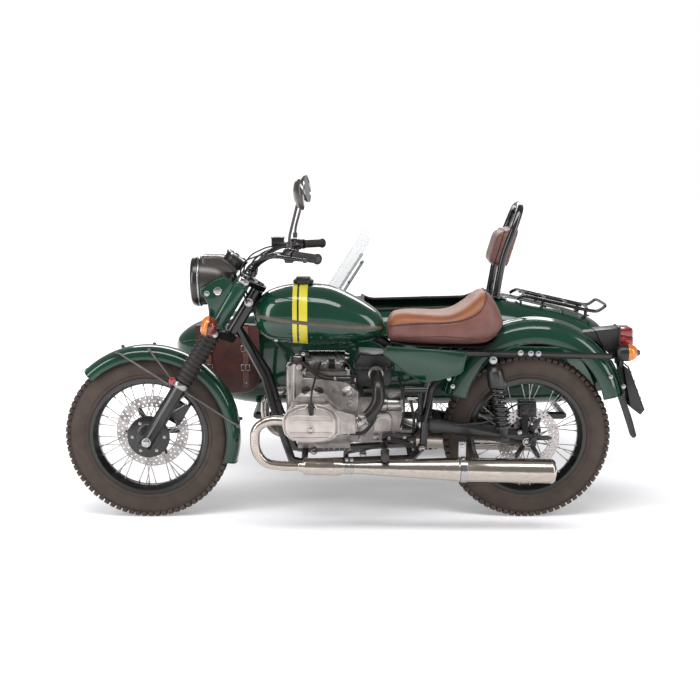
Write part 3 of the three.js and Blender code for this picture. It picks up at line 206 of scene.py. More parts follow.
def turned(profile, centre, direction=(0, 1, 0), steps=64):
    """A turned piece: profile is a list of (radius, distance along the axis)."""
    centre = Vector(centre)
    turn = Vector(direction).to_track_quat("Z", "Y")

    def shape(u, v):
        radius, along = along_points(profile, v)
        angle = 2 * math.pi * u
        return centre + turn @ Vector((radius * math.cos(angle), radius * math.sin(angle), along))

    return surface(steps, len(profile) - 1, shape, caps=profile[0] != profile[-1])


def rod(start, end, radius, end_radius=None, sides=24, round_by=0.0):
    start, end = at(*start), at(*end)
    axis = end - start
    deselect()
    far = radius if end_radius is None else end_radius
    bpy.ops.mesh.primitive_cone_add(
        vertices=sides, radius1=radius / 1000, radius2=far / 1000, depth=axis.length,
        location=(start + end) / 2, rotation=axis.to_track_quat("Z", "Y").to_euler())
    piece = settle(bpy.context.object)
    return round_edges(piece, round_by, 3) if round_by else piece


def box(centre, size, round_by=1.5):
    deselect()
    bpy.ops.mesh.primitive_cube_add(size=1, location=at(*centre),
                                    scale=[side / 1000 for side in size])
    piece = settle(bpy.context.object)
    return round_edges(piece, round_by, 3) if round_by else piece


def bent(points, bend, steps=6):
    """A route with its corners rounded: bend is how far before and after a corner the curve runs."""
    points = [Vector(point) for point in points]
    route = [points[0]]
    for before, corner, after in zip(points, points[1:], points[2:]):
        into, out = before - corner, after - corner
        reach = min(bend, into.length * 0.49, out.length * 0.49)
        first = corner + into.normalized() * reach
        last = corner + out.normalized() * reach
        for step in range(steps + 1):
            share = step / steps
            route.append(first * (1 - share) ** 2 + corner * 2 * share * (1 - share)
                         + last * share ** 2)
    return route + [points[-1]]


def pipe(points, radius, radii=None, closed=False, round_sides=4):
    """A tube along a route; radii gives the radius at each point where it changes."""
    deselect()
    curve = bpy.data.curves.new("route", "CURVE")
    curve.dimensions = "3D"
    curve.bevel_depth = radius / 1000
    curve.bevel_resolution = round_sides
    curve.use_fill_caps = True
    spline = curve.splines.new("POLY")
    spline.points.add(len(points) - 1)
    spline.use_cyclic_u = closed
    for index, point in enumerate(points):
        spline.points[index].co = (*at(*point), 1)
        if radii:
            spline.points[index].radius = radii[index] / radius
    piece = bpy.data.objects.new("route", curve)
    bpy.context.scene.collection.objects.link(piece)
    activate(piece)
    bpy.ops.object.convert(target="MESH")
    return weld(bpy.context.object)


def scattered(piece, places):
    """Copies of a piece, one for each matrix, in one mesh."""
    settle(piece)
    work = bmesh.new()
    for place in places:
        copy = piece.data.copy()
        copy.transform(place)
        work.from_mesh(copy)
        bpy.data.meshes.remove(copy)
    work.to_mesh(piece.data)
    work.free()
    return piece


def turns(centre, count, axis="Y", start=0.0):
    """Matrices that turn a piece round an axis through a point, count times."""
    shift = Matrix.Translation(at(*centre))
    return [shift @ Matrix.Rotation(start + 2 * math.pi * index / count, 4, axis)
            @ shift.inverted() for index in range(count)]


def mirrored(piece):
    """A copy of a piece on the other side of the motorcycle's middle plane."""
    activate(piece)
    bpy.ops.object.duplicate()
    copy = bpy.context.object
    copy.parent = None
    for vertex in copy.data.vertices:
        vertex.co.y = 2 * ORIGIN.y - vertex.co.y
    edit_all(copy)
    bpy.ops.mesh.flip_normals()
    bpy.ops.object.mode_set(mode="OBJECT")
    return copy


def bolt(place, direction, size=8.0, height=6.0):
    """A hexagon head on a washer; size is across its corners, halved."""
    place, direction = Vector(place), Vector(direction).normalized()
    washer = rod(place, place + direction * 2, size * 1.25, sides=20)
    head = rod(place + direction * 2, place + direction * (2 + height), size, sides=6,
               round_by=size * 0.12)
    return joined([washer, head])


def fine_copy(node, round_by=0.0):
    """A copy of a frame solid with its triangles merged, flat faces joined and edges rounded."""
    piece = bpy.data.objects.new(node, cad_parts[node].data.copy())
    bpy.context.scene.collection.objects.link(piece)
    edit_all(piece)
    bpy.ops.mesh.remove_doubles(threshold=1e-5)
    bpy.ops.mesh.dissolve_limited(angle_limit=math.radians(1.0))
    bpy.ops.object.mode_set(mode="OBJECT")
    if round_by:
        round_edges(piece, round_by)
    return piece


def oval(u, half_width, half_height, power=2.0):
    """A point on a rounded rectangle: power 2 is an ellipse, more is squarer."""
    angle = 2 * math.pi * u
    across, up = math.cos(angle), math.sin(angle)
    return (math.copysign(abs(across) ** (2 / power), across) * half_width,
            math.copysign(abs(up) ** (2 / power), up) * half_height)


def curve_value(points, x):
    """A smooth value between (x, value) pairs; the slope at each comes from its neighbours."""
    if x <= points[0][0]:
        return points[0][1]
    if x >= points[-1][0]:
        return points[-1][1]
    for index in range(len(points) - 1):
        (x0, y0), (x1, y1) = points[index], points[index + 1]
        if x <= x1:
            before = points[index - 1] if index else points[index]
            after = points[index + 2] if index + 2 < len(points) else points[index + 1]
            slope0 = (y1 - before[1]) / (x1 - before[0])
            slope1 = (after[1] - y0) / (after[0] - x0)
            t, span = (x - x0) / (x1 - x0), x1 - x0
            return ((2 * t ** 3 - 3 * t ** 2 + 1) * y0 + (t ** 3 - 2 * t ** 2 + t) * span * slope0
                    + (3 * t ** 2 - 2 * t ** 3) * y1 + (t ** 3 - t ** 2) * span * slope1)
    return points[-1][1]


def share_at_height(section, x, z, low, high):
    """The share of the way round a section, between low and high, where its skin is at height z."""
    for _ in range(24):
        share = (low + high) / 2
        if section(x, share)[2] < z:
            low = share
        else:
            high = share
    return (low + high) / 2


# ------------------------------------------------------------------ materials
def linear(code):
    """An sRGB hex colour as the linear values that shaders take."""
    parts = [int(code[index:index + 2], 16) / 255 for index in (1, 3, 5)]
    return tuple(p / 12.92 if p <= 0.04045 else ((p + 0.055) / 1.055) ** 2.4 for p in parts) + (1,)


def add_node(tree, kind, inputs=None, **settings):
    """Adds a node; inputs gives each socket a value or the output that feeds it."""
    node = tree.nodes.new(kind)
    for key, value in settings.items():
        setattr(node, key, value)
    for socket, value in (inputs or {}).items():
        if isinstance(value, bpy.types.NodeSocket):
            tree.links.new(value, node.inputs[socket])
        else:
            node.inputs[socket].default_value = value
    return node


def two_tone(tree, factor, low, high, base, second):
    """A colour that goes from base to second as factor goes from low to high."""
    ramp = add_node(tree, "ShaderNodeValToRGB", {"Fac": factor})
    for element, place, code in zip(ramp.color_ramp.elements, (low, high), (base, second)):
        element.position = place
        element.color = linear(code)
    return ramp.outputs["Color"]


def new_material(name):
    material = bpy.data.materials.new(name)
    material.use_nodes = True
    tree = material.node_tree
    tree.nodes.clear()
    output = add_node(tree, "ShaderNodeOutputMaterial")
    shader = add_node(tree, "ShaderNodeBsdfPrincipled")
    tree.links.new(shader.outputs[0], output.inputs[0])
    where = add_node(tree, "ShaderNodeTexCoord").outputs["Object"]
    return material, tree, shader, where


def per_metre(size):
    """The noise scale that gives features of a size in millimetres."""
    return 1000.0 / size


def mottled(name, base, second, roughness, spread, patch, grain, depth, metallic=0.0, **sockets):
    """Two close colours in soft patches, roughness that varies with them, and a fine grain in relief.

    patch and grain are the sizes of the patches and the grain, and depth is the relief, in mm.
    """
    material, tree, shader, where = new_material(name)
    patches = add_node(tree, "ShaderNodeTexNoise",
                       {"Vector": where, "Scale": per_metre(patch), "Detail": 5.0})
    tree.links.new(two_tone(tree, patches.outputs["Fac"], 0.38, 0.66, base, second),
                   shader.inputs["Base Color"])
    dull = add_node(tree, "ShaderNodeMapRange",
                    {"Value": patches.outputs["Fac"], "To Min": max(0.02, roughness - spread),
                     "To Max": roughness + spread})
    tree.links.new(dull.outputs[0], shader.inputs["Roughness"])
    fine = add_node(tree, "ShaderNodeTexNoise",
                    {"Vector": where, "Scale": per_metre(grain), "Detail": 3.0})
    relief = add_node(tree, "ShaderNodeBump",
                      {"Height": fine.outputs["Fac"], "Strength": 0.5, "Distance": depth / 1000})
    tree.links.new(relief.outputs[0], shader.inputs["Normal"])
    shader.inputs["Metallic"].default_value = metallic
    for socket, value in sockets.items():
        shader.inputs[socket.replace("_", " ")].default_value = value
    return material


def brushed(name, base, second, roughness, stretch):
    """Metal drawn or polished along one direction: fine lines a fraction of a millimetre apart."""
    material, tree, shader, where = new_material(name)
    lines = add_node(tree, "ShaderNodeMapping", {"Vector": where, "Scale": stretch})
    streaks = add_node(tree, "ShaderNodeTexNoise",
                       {"Vector": lines.outputs[0], "Scale": per_metre(4), "Detail": 4.0})
    tree.links.new(two_tone(tree, streaks.outputs["Fac"], 0.3, 0.7, base, second),
                   shader.inputs["Base Color"])
    dull = add_node(tree, "ShaderNodeMapRange",
                    {"Value": streaks.outputs["Fac"], "To Min": roughness * 0.7,
                     "To Max": roughness * 1.4})
    tree.links.new(dull.outputs[0], shader.inputs["Roughness"])
    relief = add_node(tree, "ShaderNodeBump",
                      {"Height": streaks.outputs["Fac"], "Strength": 0.15, "Distance": 0.0002})
    tree.links.new(relief.outputs[0], shader.inputs["Normal"])
    shader.inputs["Metallic"].default_value = 1.0
    return material


def leather(name, base, second):
    """Coated hide: pebbles about 2 mm across with fine creases between, and a soft low sheen."""
    material, tree, shader, where = new_material(name)
    patches = add_node(tree, "ShaderNodeTexNoise",
                       {"Vector": where, "Scale": per_metre(60), "Detail": 4.0})
    tree.links.new(two_tone(tree, patches.outputs["Fac"], 0.35, 0.68, base, second),
                   shader.inputs["Base Color"])
    pebbles = add_node(tree, "ShaderNodeTexVoronoi",
                       {"Vector": where, "Scale": per_metre(3.0)}, feature="DISTANCE_TO_EDGE")
    soft = add_node(tree, "ShaderNodeMapRange",
                    {"Value": pebbles.outputs["Distance"], "From Max": 0.25, "To Max": 1.0})
    creases = add_node(tree, "ShaderNodeTexNoise",
                       {"Vector": where, "Scale": per_metre(25), "Detail": 6.0})
    both = add_node(tree, "ShaderNodeMath", {0: soft.outputs[0], 1: creases.outputs["Fac"]},
                    operation="ADD")
    relief = add_node(tree, "ShaderNodeBump",
                      {"Height": both.outputs[0], "Strength": 0.35, "Distance": 0.0006})
    tree.links.new(relief.outputs[0], shader.inputs["Normal"])
    dull = add_node(tree, "ShaderNodeMapRange",
                    {"Value": patches.outputs["Fac"], "To Min": 0.34, "To Max": 0.52})
    tree.links.new(dull.outputs[0], shader.inputs["Roughness"])
    shader.inputs["Sheen Weight"].default_value = 0.08
    shader.inputs["Coat Weight"].default_value = 0.12
    shader.inputs["Coat Roughness"].default_value = 0.35
    return material


def make_materials(colours):
    """Every finish of the machine, by its slot or its use."""
    made = {}
    # baked gloss enamel: a clear coat over colour, near-mirror with a faint orange-peel
    made["paint_green"] = mottled("green_enamel", colours.paint, "#0b3a29", 0.2, 0.03, 260, 22, 0.004,
                                  Coat_Weight=0.9, Coat_Roughness=0.04, Specular_IOR_Level=0.15)
    # printed vinyl: an even colour under a thin clear film
    made["stripe_yellow"] = mottled("yellow_vinyl", "#c6b72c", "#d0c43a", 0.3, 0.05, 60, 3, 0.02,
                                    Coat_Weight=0.6, Coat_Roughness=0.1)
    made["strip_brown"] = mottled("brown_trim", "#4b4339", "#5a5145", 0.35, 0.05, 60, 3, 0.03)
    # powder coat: an even black with a fine pebbled skin
    made["paint_black"] = mottled("black_powder_coat", "#0b0a0a", "#141212", 0.3, 0.06, 70, 2, 0.05,
                                  Coat_Weight=0.35, Coat_Roughness=0.2)
    # sand-cast aluminium: grey, slightly warm, with the skin of the sand in it
    made["cast_alloy"] = mottled("sand_cast_aluminium", colours.alloy, "#8d8683", 0.42, 0.08, 45,
                                 1.6, 0.35, metallic=0.86)
    made["alloy_bright"] = mottled("machined_aluminium", "#a9a6a4", "#8f8c8b", 0.27, 0.06, 30, 1.5,
                                   0.05, metallic=1.0)
    # bead-blasted aluminium: paler and more even than the castings
    made["cover_alloy"] = mottled("blasted_aluminium", "#c4bbb6", "#aaa19d", 0.36, 0.05, 60, 1.4,
                                  0.15, metallic=0.75)
    made["satin_shell"] = mottled("painted_satin_shell", "#2c2724", "#36302d", 0.3, 0.05, 80, 2,
                                  0.03, Coat_Weight=0.3, Coat_Roughness=0.25)
    made["gloss_black"] = mottled("gloss_black_paint", "#0d0c0c", "#141313", 0.16, 0.04, 60, 4,
                                  0.02, Coat_Weight=0.8, Coat_Roughness=0.08)
    made["grey_steel"] = mottled("grey_painted_steel", "#5d5a58", "#6c6866", 0.36, 0.06, 40, 2,
                                 0.03, metallic=0.4)
    made["dial_white"] = mottled("printed_dial", "#e8e6e0", "#dedbd4", 0.4, 0.05, 30, 2, 0.01)
    made["lens_amber_dark"] = mottled("dark_amber_acrylic", "#7a2412", "#5e1a0e", 0.14, 0.04, 30,
                                      5, 0.05, Coat_Weight=1.0, Coat_Roughness=0.05)
    made["gloss_rubber"] = mottled("smooth_rubber", "#161413", "#1e1b1a", 0.3, 0.06, 60, 3, 0.03)
    # polished and plated metal: bright, with faint streaks from the polishing wheel
    made["stainless"] = brushed("polished_stainless", "#c6beb4", "#a39a90", 0.2, (0.12, 2.5, 2.5))
    made["wheel_metal"] = brushed("zinc_plated_steel", "#c0bcba", "#96918f", 0.3, (1.5, 1.5, 1.5))
    made["chrome"] = brushed("chrome_plate", "#b4b3b2", "#98989a", 0.16, (1, 1, 1))
    # moulded ABS: a low even shine with a spark-eroded texture
    made["black_plastic"] = mottled("moulded_black_abs", "#0f0e0d", "#191716", 0.34, 0.07, 50, 1.5,
                                    0.06)
    # rubber: dull, with soft lighter patches of dust
    made["black_rubber"] = mottled("moulded_rubber", "#181412", "#261f1c", 0.58, 0.1, 40, 2.5, 0.1)
    made["tyre_rubber"] = mottled("tyre_rubber", colours.tyre, "#463a32", 0.72, 0.08, 55, 3, 0.2)
    # coated hide: a pebbled skin with a soft low sheen
    made["leather_brown"] = leather("brown_hide", "#643b33", "#744a42")
    made["leather_tan"] = leather("tan_hide", colours.saddle, "#8a4d28")
    made["leather_dark"] = leather("oxblood_hide", "#3c1a15", "#50271e")
    # moulded acrylic: deep colour with a sharp wet shine
    made["lens_red"] = mottled("red_acrylic", "#9c0d16", "#7c0a12", 0.12, 0.04, 40, 5, 0.05,
                               Coat_Weight=1.0, Coat_Roughness=0.05, Transmission_Weight=0.15)
    made["lens_orange"] = mottled("orange_acrylic", "#e07c08", "#c86606", 0.12, 0.04, 30, 5, 0.05,
                                  Coat_Weight=1.0, Coat_Roughness=0.05, Transmission_Weight=0.15)
    # polycarbonate sheet: seen through, with a pale film and a sharp shine
    made["clear_sheet"] = mottled("clear_polycarbonate", "#f6f9fa", "#eef3f5", 0.03, 0.02, 200, 30,
                                  0.02, Transmission_Weight=0.0, IOR=1.45, Alpha=0.24)
    made["lamp_glass"] = mottled("fluted_glass", "#eef2f5", "#dfe6ea", 0.06, 0.02, 30, 4, 0.2,
                                 Transmission_Weight=0.6, IOR=1.45)
    made["mirror_glass"] = mottled("silvered_glass", "#dfe3e6", "#d2d8dc", 0.04, 0.02, 80, 20, 0.01,
                                   metallic=1.0)
    made["brass"] = mottled("zinc_chromate", "#a8926a", "#8f7a55", 0.3, 0.06, 20, 2, 0.05,
                            metallic=1.0)
    return made


FINISH = {}


# ------------------------------------------------------------------ sizes a user would change
class MachineColours(bpy.types.PropertyGroup):
    paint: bpy.props.StringProperty(name="Paint", description="Enamel of the bodywork",
                                    default="#083022")
    saddle: bpy.props.StringProperty(name="Saddle top", description="Hide on the saddle's top",
                                     default="#7d4523")
    tyre: bpy.props.StringProperty(name="Tyre", description="Rubber of the tyres",
                                   default="#3a2f28")
    alloy: bpy.props.StringProperty(name="Castings", description="Aluminium of the engine",
                                    default="#b5afab")


class MachineSizes(bpy.types.PropertyGroup):
    tyre_radius: bpy.props.FloatProperty(name="Tyre radius", description="Over the tread",
                                         default=345.0, min=200, max=500)
    spokes: bpy.props.IntProperty(name="Spokes", description="Spokes in each wheel",
                                  default=40, min=8, max=60)
    fins: bpy.props.IntProperty(name="Fins", description="Cooling fins on each barrel",
                                default=11, min=4, max=16)
    coils: bpy.props.FloatProperty(name="Coils", description="Turns of each damper spring",
                                   default=8.5, min=4, max=14)


# ------------------------------------------------------------------ wheels
def tyre(name, body, node, sizes):
    """A block-tread tyre: a round carcass with four rows of rubber blocks."""
    hub = middle(node)
    tread, width, depth, bead = sizes.tyre_radius, 52.0, 5.0, 238
    waist = (tread - depth + bead) / 2
    rise = tread - depth - waist

    def carcass(u, v):
        y, out = oval(v, width, rise, 2.4)
        angle = 2 * math.pi * u
        radius = waist + out
        return (hub.x + radius * math.cos(angle), hub.y + y, hub.z + radius * math.sin(angle))

    skin = surface(96, 28, carcass, caps=False)
    weld(skin)
    pieces = [skin]
    count = 76
    for row, (across, lean, long) in enumerate(((-13, 0, 23), (13, 0, 23), (-36, 0.62, 21),
                                                (36, -0.62, 21))):
        sink = 3.0 if lean == 0 else 11.0
        block = box((hub.x, hub.y + across, hub.z + tread - depth / 2 - sink / 2),
                    (long, 21, depth + sink - 1), 2.0)
        if lean:
            centre = at(hub.x, hub.y + across, hub.z + tread - depth - 4)
            turn = Matrix.Translation(centre) @ Matrix.Rotation(lean, 4, "X") \
                @ Matrix.Translation(-centre)
            block.data.transform(turn)
            block.data.transform(Matrix.Translation((0, 0, -0.002)))
        pieces.append(scattered(block, turns(hub, count, "Y", (row % 2) * math.pi / count)))
    ring = turned([(244, -38), (252, -46), (262, -49), (262, -46), (252, -42), (244, -38)], hub)
    other = turned([(244, 38), (252, 42), (262, 46), (262, 49), (252, 46), (244, 38)], hub)
    whole = joined(pieces + [ring, other])
    return finish(whole, name, body, "tyre_rubber", [node], smooth=30)


def laced_wheel(name, body, node, centre_node, sizes):
    """A black rim with laced bright spokes round an alloy hub."""
    hub = middle(centre_node)
    rim = turned([(246, -41), (246, -45), (232, -43), (228, -30), (217, -16), (217, 16), (228, 30),
                  (232, 43), (246, 45), (246, 41), (237, 38), (232, 28), (222, 14), (222, -14),
                  (232, -28), (237, -38), (246, -41)], hub, steps=96)
    finish(rim, name + "_rim", body, "paint_black", [node], smooth=40)
    spokes = []
    families = 4
    each = sizes.spokes // families
    for family in range(families):
        side = -1 if family % 2 else 1
        lead = 1 if family < 2 else -1
        turn = 2 * math.pi * family / sizes.spokes
        start_angle, end_angle = turn + lead * 0.62, turn + lead * 0.05
        start = hub + Vector((44 * math.cos(start_angle), side * 30, 44 * math.sin(start_angle)))
        end = hub + Vector((222 * math.cos(end_angle), side * 10, 222 * math.sin(end_angle)))
        nipple = hub + Vector((208 * math.cos(end_angle * 0.98 + start_angle * 0.02), side * 11,
                               208 * math.sin(end_angle * 0.98 + start_angle * 0.02)))
        wire = joined([rod(start, end, 2.1, sides=8), rod(nipple, end, 3.6, sides=8)])
        spokes.append(scattered(wire, turns(hub, each)))
    finish(joined(spokes), name + "_spokes", body, "wheel_metal", smooth=50)
    barrel = turned([(0, -44), (26, -44), (30, -38), (50, -36), (52, -30), (46, -25), (33, -20),
                     (31, 0), (33, 20), (46, 25), (52, 30), (50, 36), (30, 38), (26, 44),
                     (0, 44)], hub)
    finish(barrel, name + "_hub", body, "alloy_bright", smooth=35)
    return hub


def brake_disc(name, body, hub, side, inner, outer):
    """A drilled steel disc on a six-armed carrier; side is its distance from the wheel's middle."""
    rows, count = 3, 36
    step = (outer - inner) / rows
    face = []
    for row in range(rows):
        low, high = inner + row * step, inner + (row + 1) * step
        pitch = 2 * math.pi / count
        radius, angle0 = (low + high) / 2, (row % 2) * pitch / 2
        hole = min(step, radius * pitch) * 0.27

        def cell(u, v):
            turn = 2 * math.pi * u
            across, up = math.cos(turn), math.sin(turn)
            reach = 1 / max(abs(across), abs(up))
            edge_angle = angle0 + across * reach * pitch / 2
            edge_radius = radius + up * reach * step / 2
            edge = Vector((edge_radius * math.cos(edge_angle), 0, edge_radius * math.sin(edge_angle)))
            angle = angle0 + across * hole / radius
            inside = Vector(((radius + up * hole) * math.cos(angle), 0,
                             (radius + up * hole) * math.sin(angle)))
            return hub + inside.lerp(edge, v) + Vector((0, side, 0))

        piece = surface(16, 1, cell, caps=False)
        face.append(scattered(piece, turns(hub, count)))
    disc = joined(face)
    weld(disc)
    modify(disc, "SOLIDIFY", thickness=0.005, offset=0)
    arm = box(hub + Vector((inner * 0.66, side, 0)), (inner * 0.8, 4, 20), 1.0)
    button = rod(hub + Vector((inner + 4, side - 3, 0)), hub + Vector((inner + 4, side + 3, 0)), 7,
                 sides=20)
    carrier = scattered(joined([arm, button]), turns(hub, 6))
    centre = turned([(30, side - 4), (inner * 0.42, side - 4), (inner * 0.42, side + 4),
                     (30, side + 4), (30, side - 4)], hub)
    finish(disc, name, body, "wheel_metal", smooth=30)
    finish(joined([carrier, centre]), name + "_carrier", body,
           "paint_black", smooth=30)


def hub_cover(name, body, hub, side, radius):
    """A black pressed cover with a raised middle and a ring of bolts."""
    out = math.copysign(1, side)
    cover = turned([(0, side + out * 16), (26, side + out * 16), (30, side + out * 12),
                    (radius * 0.55, side + out * 9), (radius * 0.62, side + out * 4),
                    (radius - 6, side + out * 3), (radius, side), (radius, side - out * 4),
                    (0, side - out * 4)], hub)
    finish(cover, name, body, "paint_black", smooth=30)
    head = bolt(hub + Vector((radius * 0.75, side + out * 3, 0)), (0, out, 0), 5.5, 4)
    cap = bolt(hub + Vector((0, side + out * 16, 0)), (0, out, 0), 13, 10)
    finish(joined([scattered(head, turns(hub, 6)), cap]), name + "_bolts", body,
           "wheel_metal", smooth=30)


class BuildWheels(bpy.types.Operator):
    """Tyres, rims, spokes, hubs and brake discs"""
    bl_idname = "machine.wheels"
    bl_label = "Wheels"

    def execute(self, context):
        sizes = context.scene.machine_sizes
        for name, body in (("front", "front_wheel"), ("rear", "rear_wheel"),
                           ("sidecar", "sidecar_wheel")):
            tyre(f"{name}_road_tyre", body, f"{name}_tyre", sizes)
            hub = laced_wheel(name, body, f"{name}_wheel", f"{name}_tyre", sizes)
            if name == "front":
                brake_disc("front_disc", body, hub, 61, 105, 152)
                hub_cover("front_hub_cover", body, hub, -48, 88)
            if name == "rear":
                brake_disc("rear_disc", body, hub, -66, 88, 130)
                hub_cover("rear_hub_cover", body, hub, 46, 70)
            if name == "sidecar":
                hub_cover("sidecar_hub_cover", body, hub, 50, 60)
        return {"FINISHED"}


# ------------------------------------------------------------------ tank
TANK_TOP = ((-396, 872), (-384, 908), (-329, 953), (-234, 977), (-152, 978), (-70, 967), (25, 924),
            (95, 880), (130, 845), (141, 812))
TANK_BOTTOM = ((-396, 852), (-384, 800), (-350, 760), (-312, 744), (-234, 736), (-152, 730),
               (-60, 730), (60, 742), (120, 760), (141, 792))
TANK_HALF = ((-396, 26), (-384, 66), (-350, 104), (-300, 128), (-234, 144), (-152, 152), (-60, 148),
             (25, 126), (95, 96), (130, 66), (141, 36))
TANK_POWER = 2.5


def tank_section(x, u, proud=0.0):
    """A point round the tank at x; proud lifts it off the surface."""
    top, bottom = curve_value(TANK_TOP, x), curve_value(TANK_BOTTOM, x)
    half = curve_value(TANK_HALF, x)
    seam = bottom + (top - bottom) * 0.45
    across, up = oval(u, 1, 1, TANK_POWER)
    rise = (top - seam if up > 0 else seam - bottom) + proud
    return (x, across * (half + proud), seam + up * rise)


def tank_side_angle(x, z):
    """The share of the way round, from the right side, at which the tank's skin is at height z."""
    return share_at_height(tank_section, x, z, -0.12, 0.24)


class BuildTank(bpy.types.Operator):
    """Tank with its two stripes, side trims and ribbed filler cap"""
    bl_idname = "machine.tank"
    bl_label = "Tank"

    def execute(self, context):
        front, rear = TANK_TOP[0][0], TANK_TOP[-1][0]

        def skin(u, v):
            share = 0.5 - 0.5 * math.cos(math.pi * v)
            return tank_section(front + (rear - front) * share, u)

        tank = surface(48, 36, skin)
        finish(tank, "tank_shell", "chassis", "paint_green", ["fuel_tank"],
               smooth=60)
        bands = []
        for low, high in ((-231, -213), (-205, -171)):
            def band(u, v):
                return tank_section(low + (high - low) * v, -0.17 + 0.84 * u, 0.6)

            bands.append(surface(72, 2, band, wrap=False, caps=False, wall=0.8))
        finish(joined(bands), "tank_stripes", "chassis", "stripe_yellow",
               smooth=60)
        trims = []
        trim_front, trim_rear = -384, 134
        for side in (1, -1):
            def trim(u, v):
                x = trim_front + (trim_rear - trim_front) * v
                height = 857 - (x + 394) * 53 / 534 + (u - 0.5) * 15
                angle = tank_side_angle(x, height)
                proud = 1.0 + 1.6 * math.sin(math.pi * u)
                place = tank_section(x, angle, proud)
                return (place[0], side * place[1], place[2])

            trims.append(surface(4, 40, trim, wrap=False, caps=False, wall=1.2))
        finish(joined(trims), "tank_trims", "chassis", "strip_brown",
               smooth=60)
        cap_x, cap_z = -191, 979
        cap = turned([(0, 26), (22, 26), (30, 24), (34, 20), (36, 18), (41, 15), (41, 3), (37, 0),
                      (0, 0)], (cap_x, 0, cap_z), (0, 0, 1), 48)
        rib = box((cap_x + 38.5, 0, cap_z + 9), (7, 3.4, 13), 0.8)
        ribs = scattered(rib, turns((cap_x, 0, cap_z), 28, "Z"))
        grip = box((cap_x, 0, cap_z + 26), (58, 13, 6), 2.5)
        finish(joined([cap, ribs, grip]), "filler_cap", "fuel_cap",
               "black_plastic", ["fuel_cap"])
        return {"FINISHED"}


# ------------------------------------------------------------------ saddle
SADDLE_TOP = ((150, 800), (158, 836), (180, 862), (270, 872), (366, 872), (420, 880), (470, 908),
              (520, 948), (545, 955), (565, 946), (590, 912), (612, 868), (622, 832))
SADDLE_BOTTOM = ((150, 770), (158, 752), (180, 744), (270, 738), (480, 734), (540, 736), (575, 750),
                 (605, 785), (622, 815))
SADDLE_HALF = ((150, 40), (158, 70), (180, 96), (270, 128), (366, 145), (450, 153), (520, 156),
               (560, 150), (590, 132), (612, 108), (622, 80))
PANEL_FRONT, PANEL_REAR = 158, 550
SEAM_FRONT, SEAM_REAR = 172, 596
PANEL_EDGE = ((160, 814), (230, 826), (300, 832), (366, 834), (430, 842), (480, 858), (520, 884),
              (545, 922), (552, 945))


def saddle_section(x, u, proud=0.0):
    top, bottom = curve_value(SADDLE_TOP, x), curve_value(SADDLE_BOTTOM, x)
    half = curve_value(SADDLE_HALF, x)
    waist = bottom + (top - bottom) * 0.42
    across, up = oval(u, 1, 1, 2.9)
    tuck = 1 - 0.07 * max(0.0, -up) ** 2
    rise = (top - waist if up > 0 else waist - bottom) + proud
    dish = 9 * max(0.0, up) * (1 - across * across) * math.exp(-((x - 360) / 110) ** 2)
    return (x, across * tuck * (half + proud), waist + up * rise - dish)


def saddle_angle(x, z):
    """The share of the way round, from the right side, at which the saddle's skin is at height z."""
    return share_at_height(saddle_section, x, z, -0.1, 0.25)


def panel_angle(x):
    """The share of the way round at which the saddle's top panel ends."""
    return saddle_angle(x, curve_value(PANEL_EDGE, x))


class BuildSaddle(bpy.types.Operator):
    """Two-tone saddle: moulded body, tan top panel, welts, a low seam and the pan"""
    bl_idname = "machine.saddle"
    bl_label = "Saddle"

    def execute(self, context):
        front, rear = SADDLE_TOP[0][0], SADDLE_TOP[-1][0]

        def body(u, v):
            share = 0.5 - 0.5 * math.cos(math.pi * v)
            return saddle_section(front + (rear - front) * share, u)

        hide = surface(40, 32, body, levels=1)
        finish(hide, "saddle_body", "chassis", "leather_brown",
                         ["saddle"], smooth=70)

        def panel(u, v):
            x = PANEL_FRONT + (PANEL_REAR - PANEL_FRONT) * v
            edge = panel_angle(x)
            swell = 2.4 * math.sin(math.pi * u) ** 0.4 * math.sin(math.pi * min(1, v * 1.02)) ** 0.4
            return saddle_section(x, edge + (0.5 - 2 * edge) * u, 0.4 + swell)

        top = surface(28, 40, panel, wrap=False, caps=False, wall=2.0, levels=1)
        finish(top, "saddle_top", "chassis", "leather_tan",
                         smooth=70)
        welts = []
        count = 44
        for side in (1, -1):
            route, low_route = [], []
            for step in range(count + 1):
                x = PANEL_FRONT + (PANEL_REAR - PANEL_FRONT) * step / count
                place = saddle_section(x, panel_angle(x), 1.5)
                route.append((place[0], side * place[1], place[2]))
                low_x = SEAM_FRONT + (SEAM_REAR - SEAM_FRONT) * step / count
                drop = 26 * (1 - abs(2 * step / count - 1)) ** 0.5
                low_z = curve_value(SADDLE_BOTTOM, low_x) + 20 + drop
                place = saddle_section(low_x, saddle_angle(low_x, low_z), 0.2)
                low_route.append((place[0], side * place[1], place[2]))
            welts.append(pipe(route, 2.4))
            welts.append(pipe(low_route, 1.4))
        edge = panel_angle(PANEL_REAR)
        cross = [saddle_section(PANEL_REAR, edge + (0.5 - 2 * edge) * step / 20, 1.5)
                 for step in range(21)]
        welts.append(pipe(cross, 2.4))
        finish(joined(welts), "saddle_welts", "chassis", "leather_dark",
               smooth=70)
        finish(under_pan(), "saddle_pan", "chassis", "black_plastic")
        return {"FINISHED"}


def under_pan():
    """The dark pan under the saddle's hide."""
    front, rear = 168, 590

    def pan(u, v):
        x = front + (rear - front) * v
        across, up = oval(u, curve_value(SADDLE_HALF, x) * 0.86, 5, 4)
        return (x, across, curve_value(SADDLE_BOTTOM, x) + up)

    return surface(16, 24, pan)


# ------------------------------------------------------------------ engine
CYLINDER_X, CYLINDER_Z = -152.0, 470.0
COVER_OUTLINE = ((-262, 452), (-262, 492), (-246, 522), (-205, 542), (-180, 548), (-124, 548),
                 (-96, 542), (-60, 524), (-43, 494), (-43, 434), (-62, 412), (-100, 398),
                 (-150, 394), (-196, 396), (-236, 410), (-254, 428))


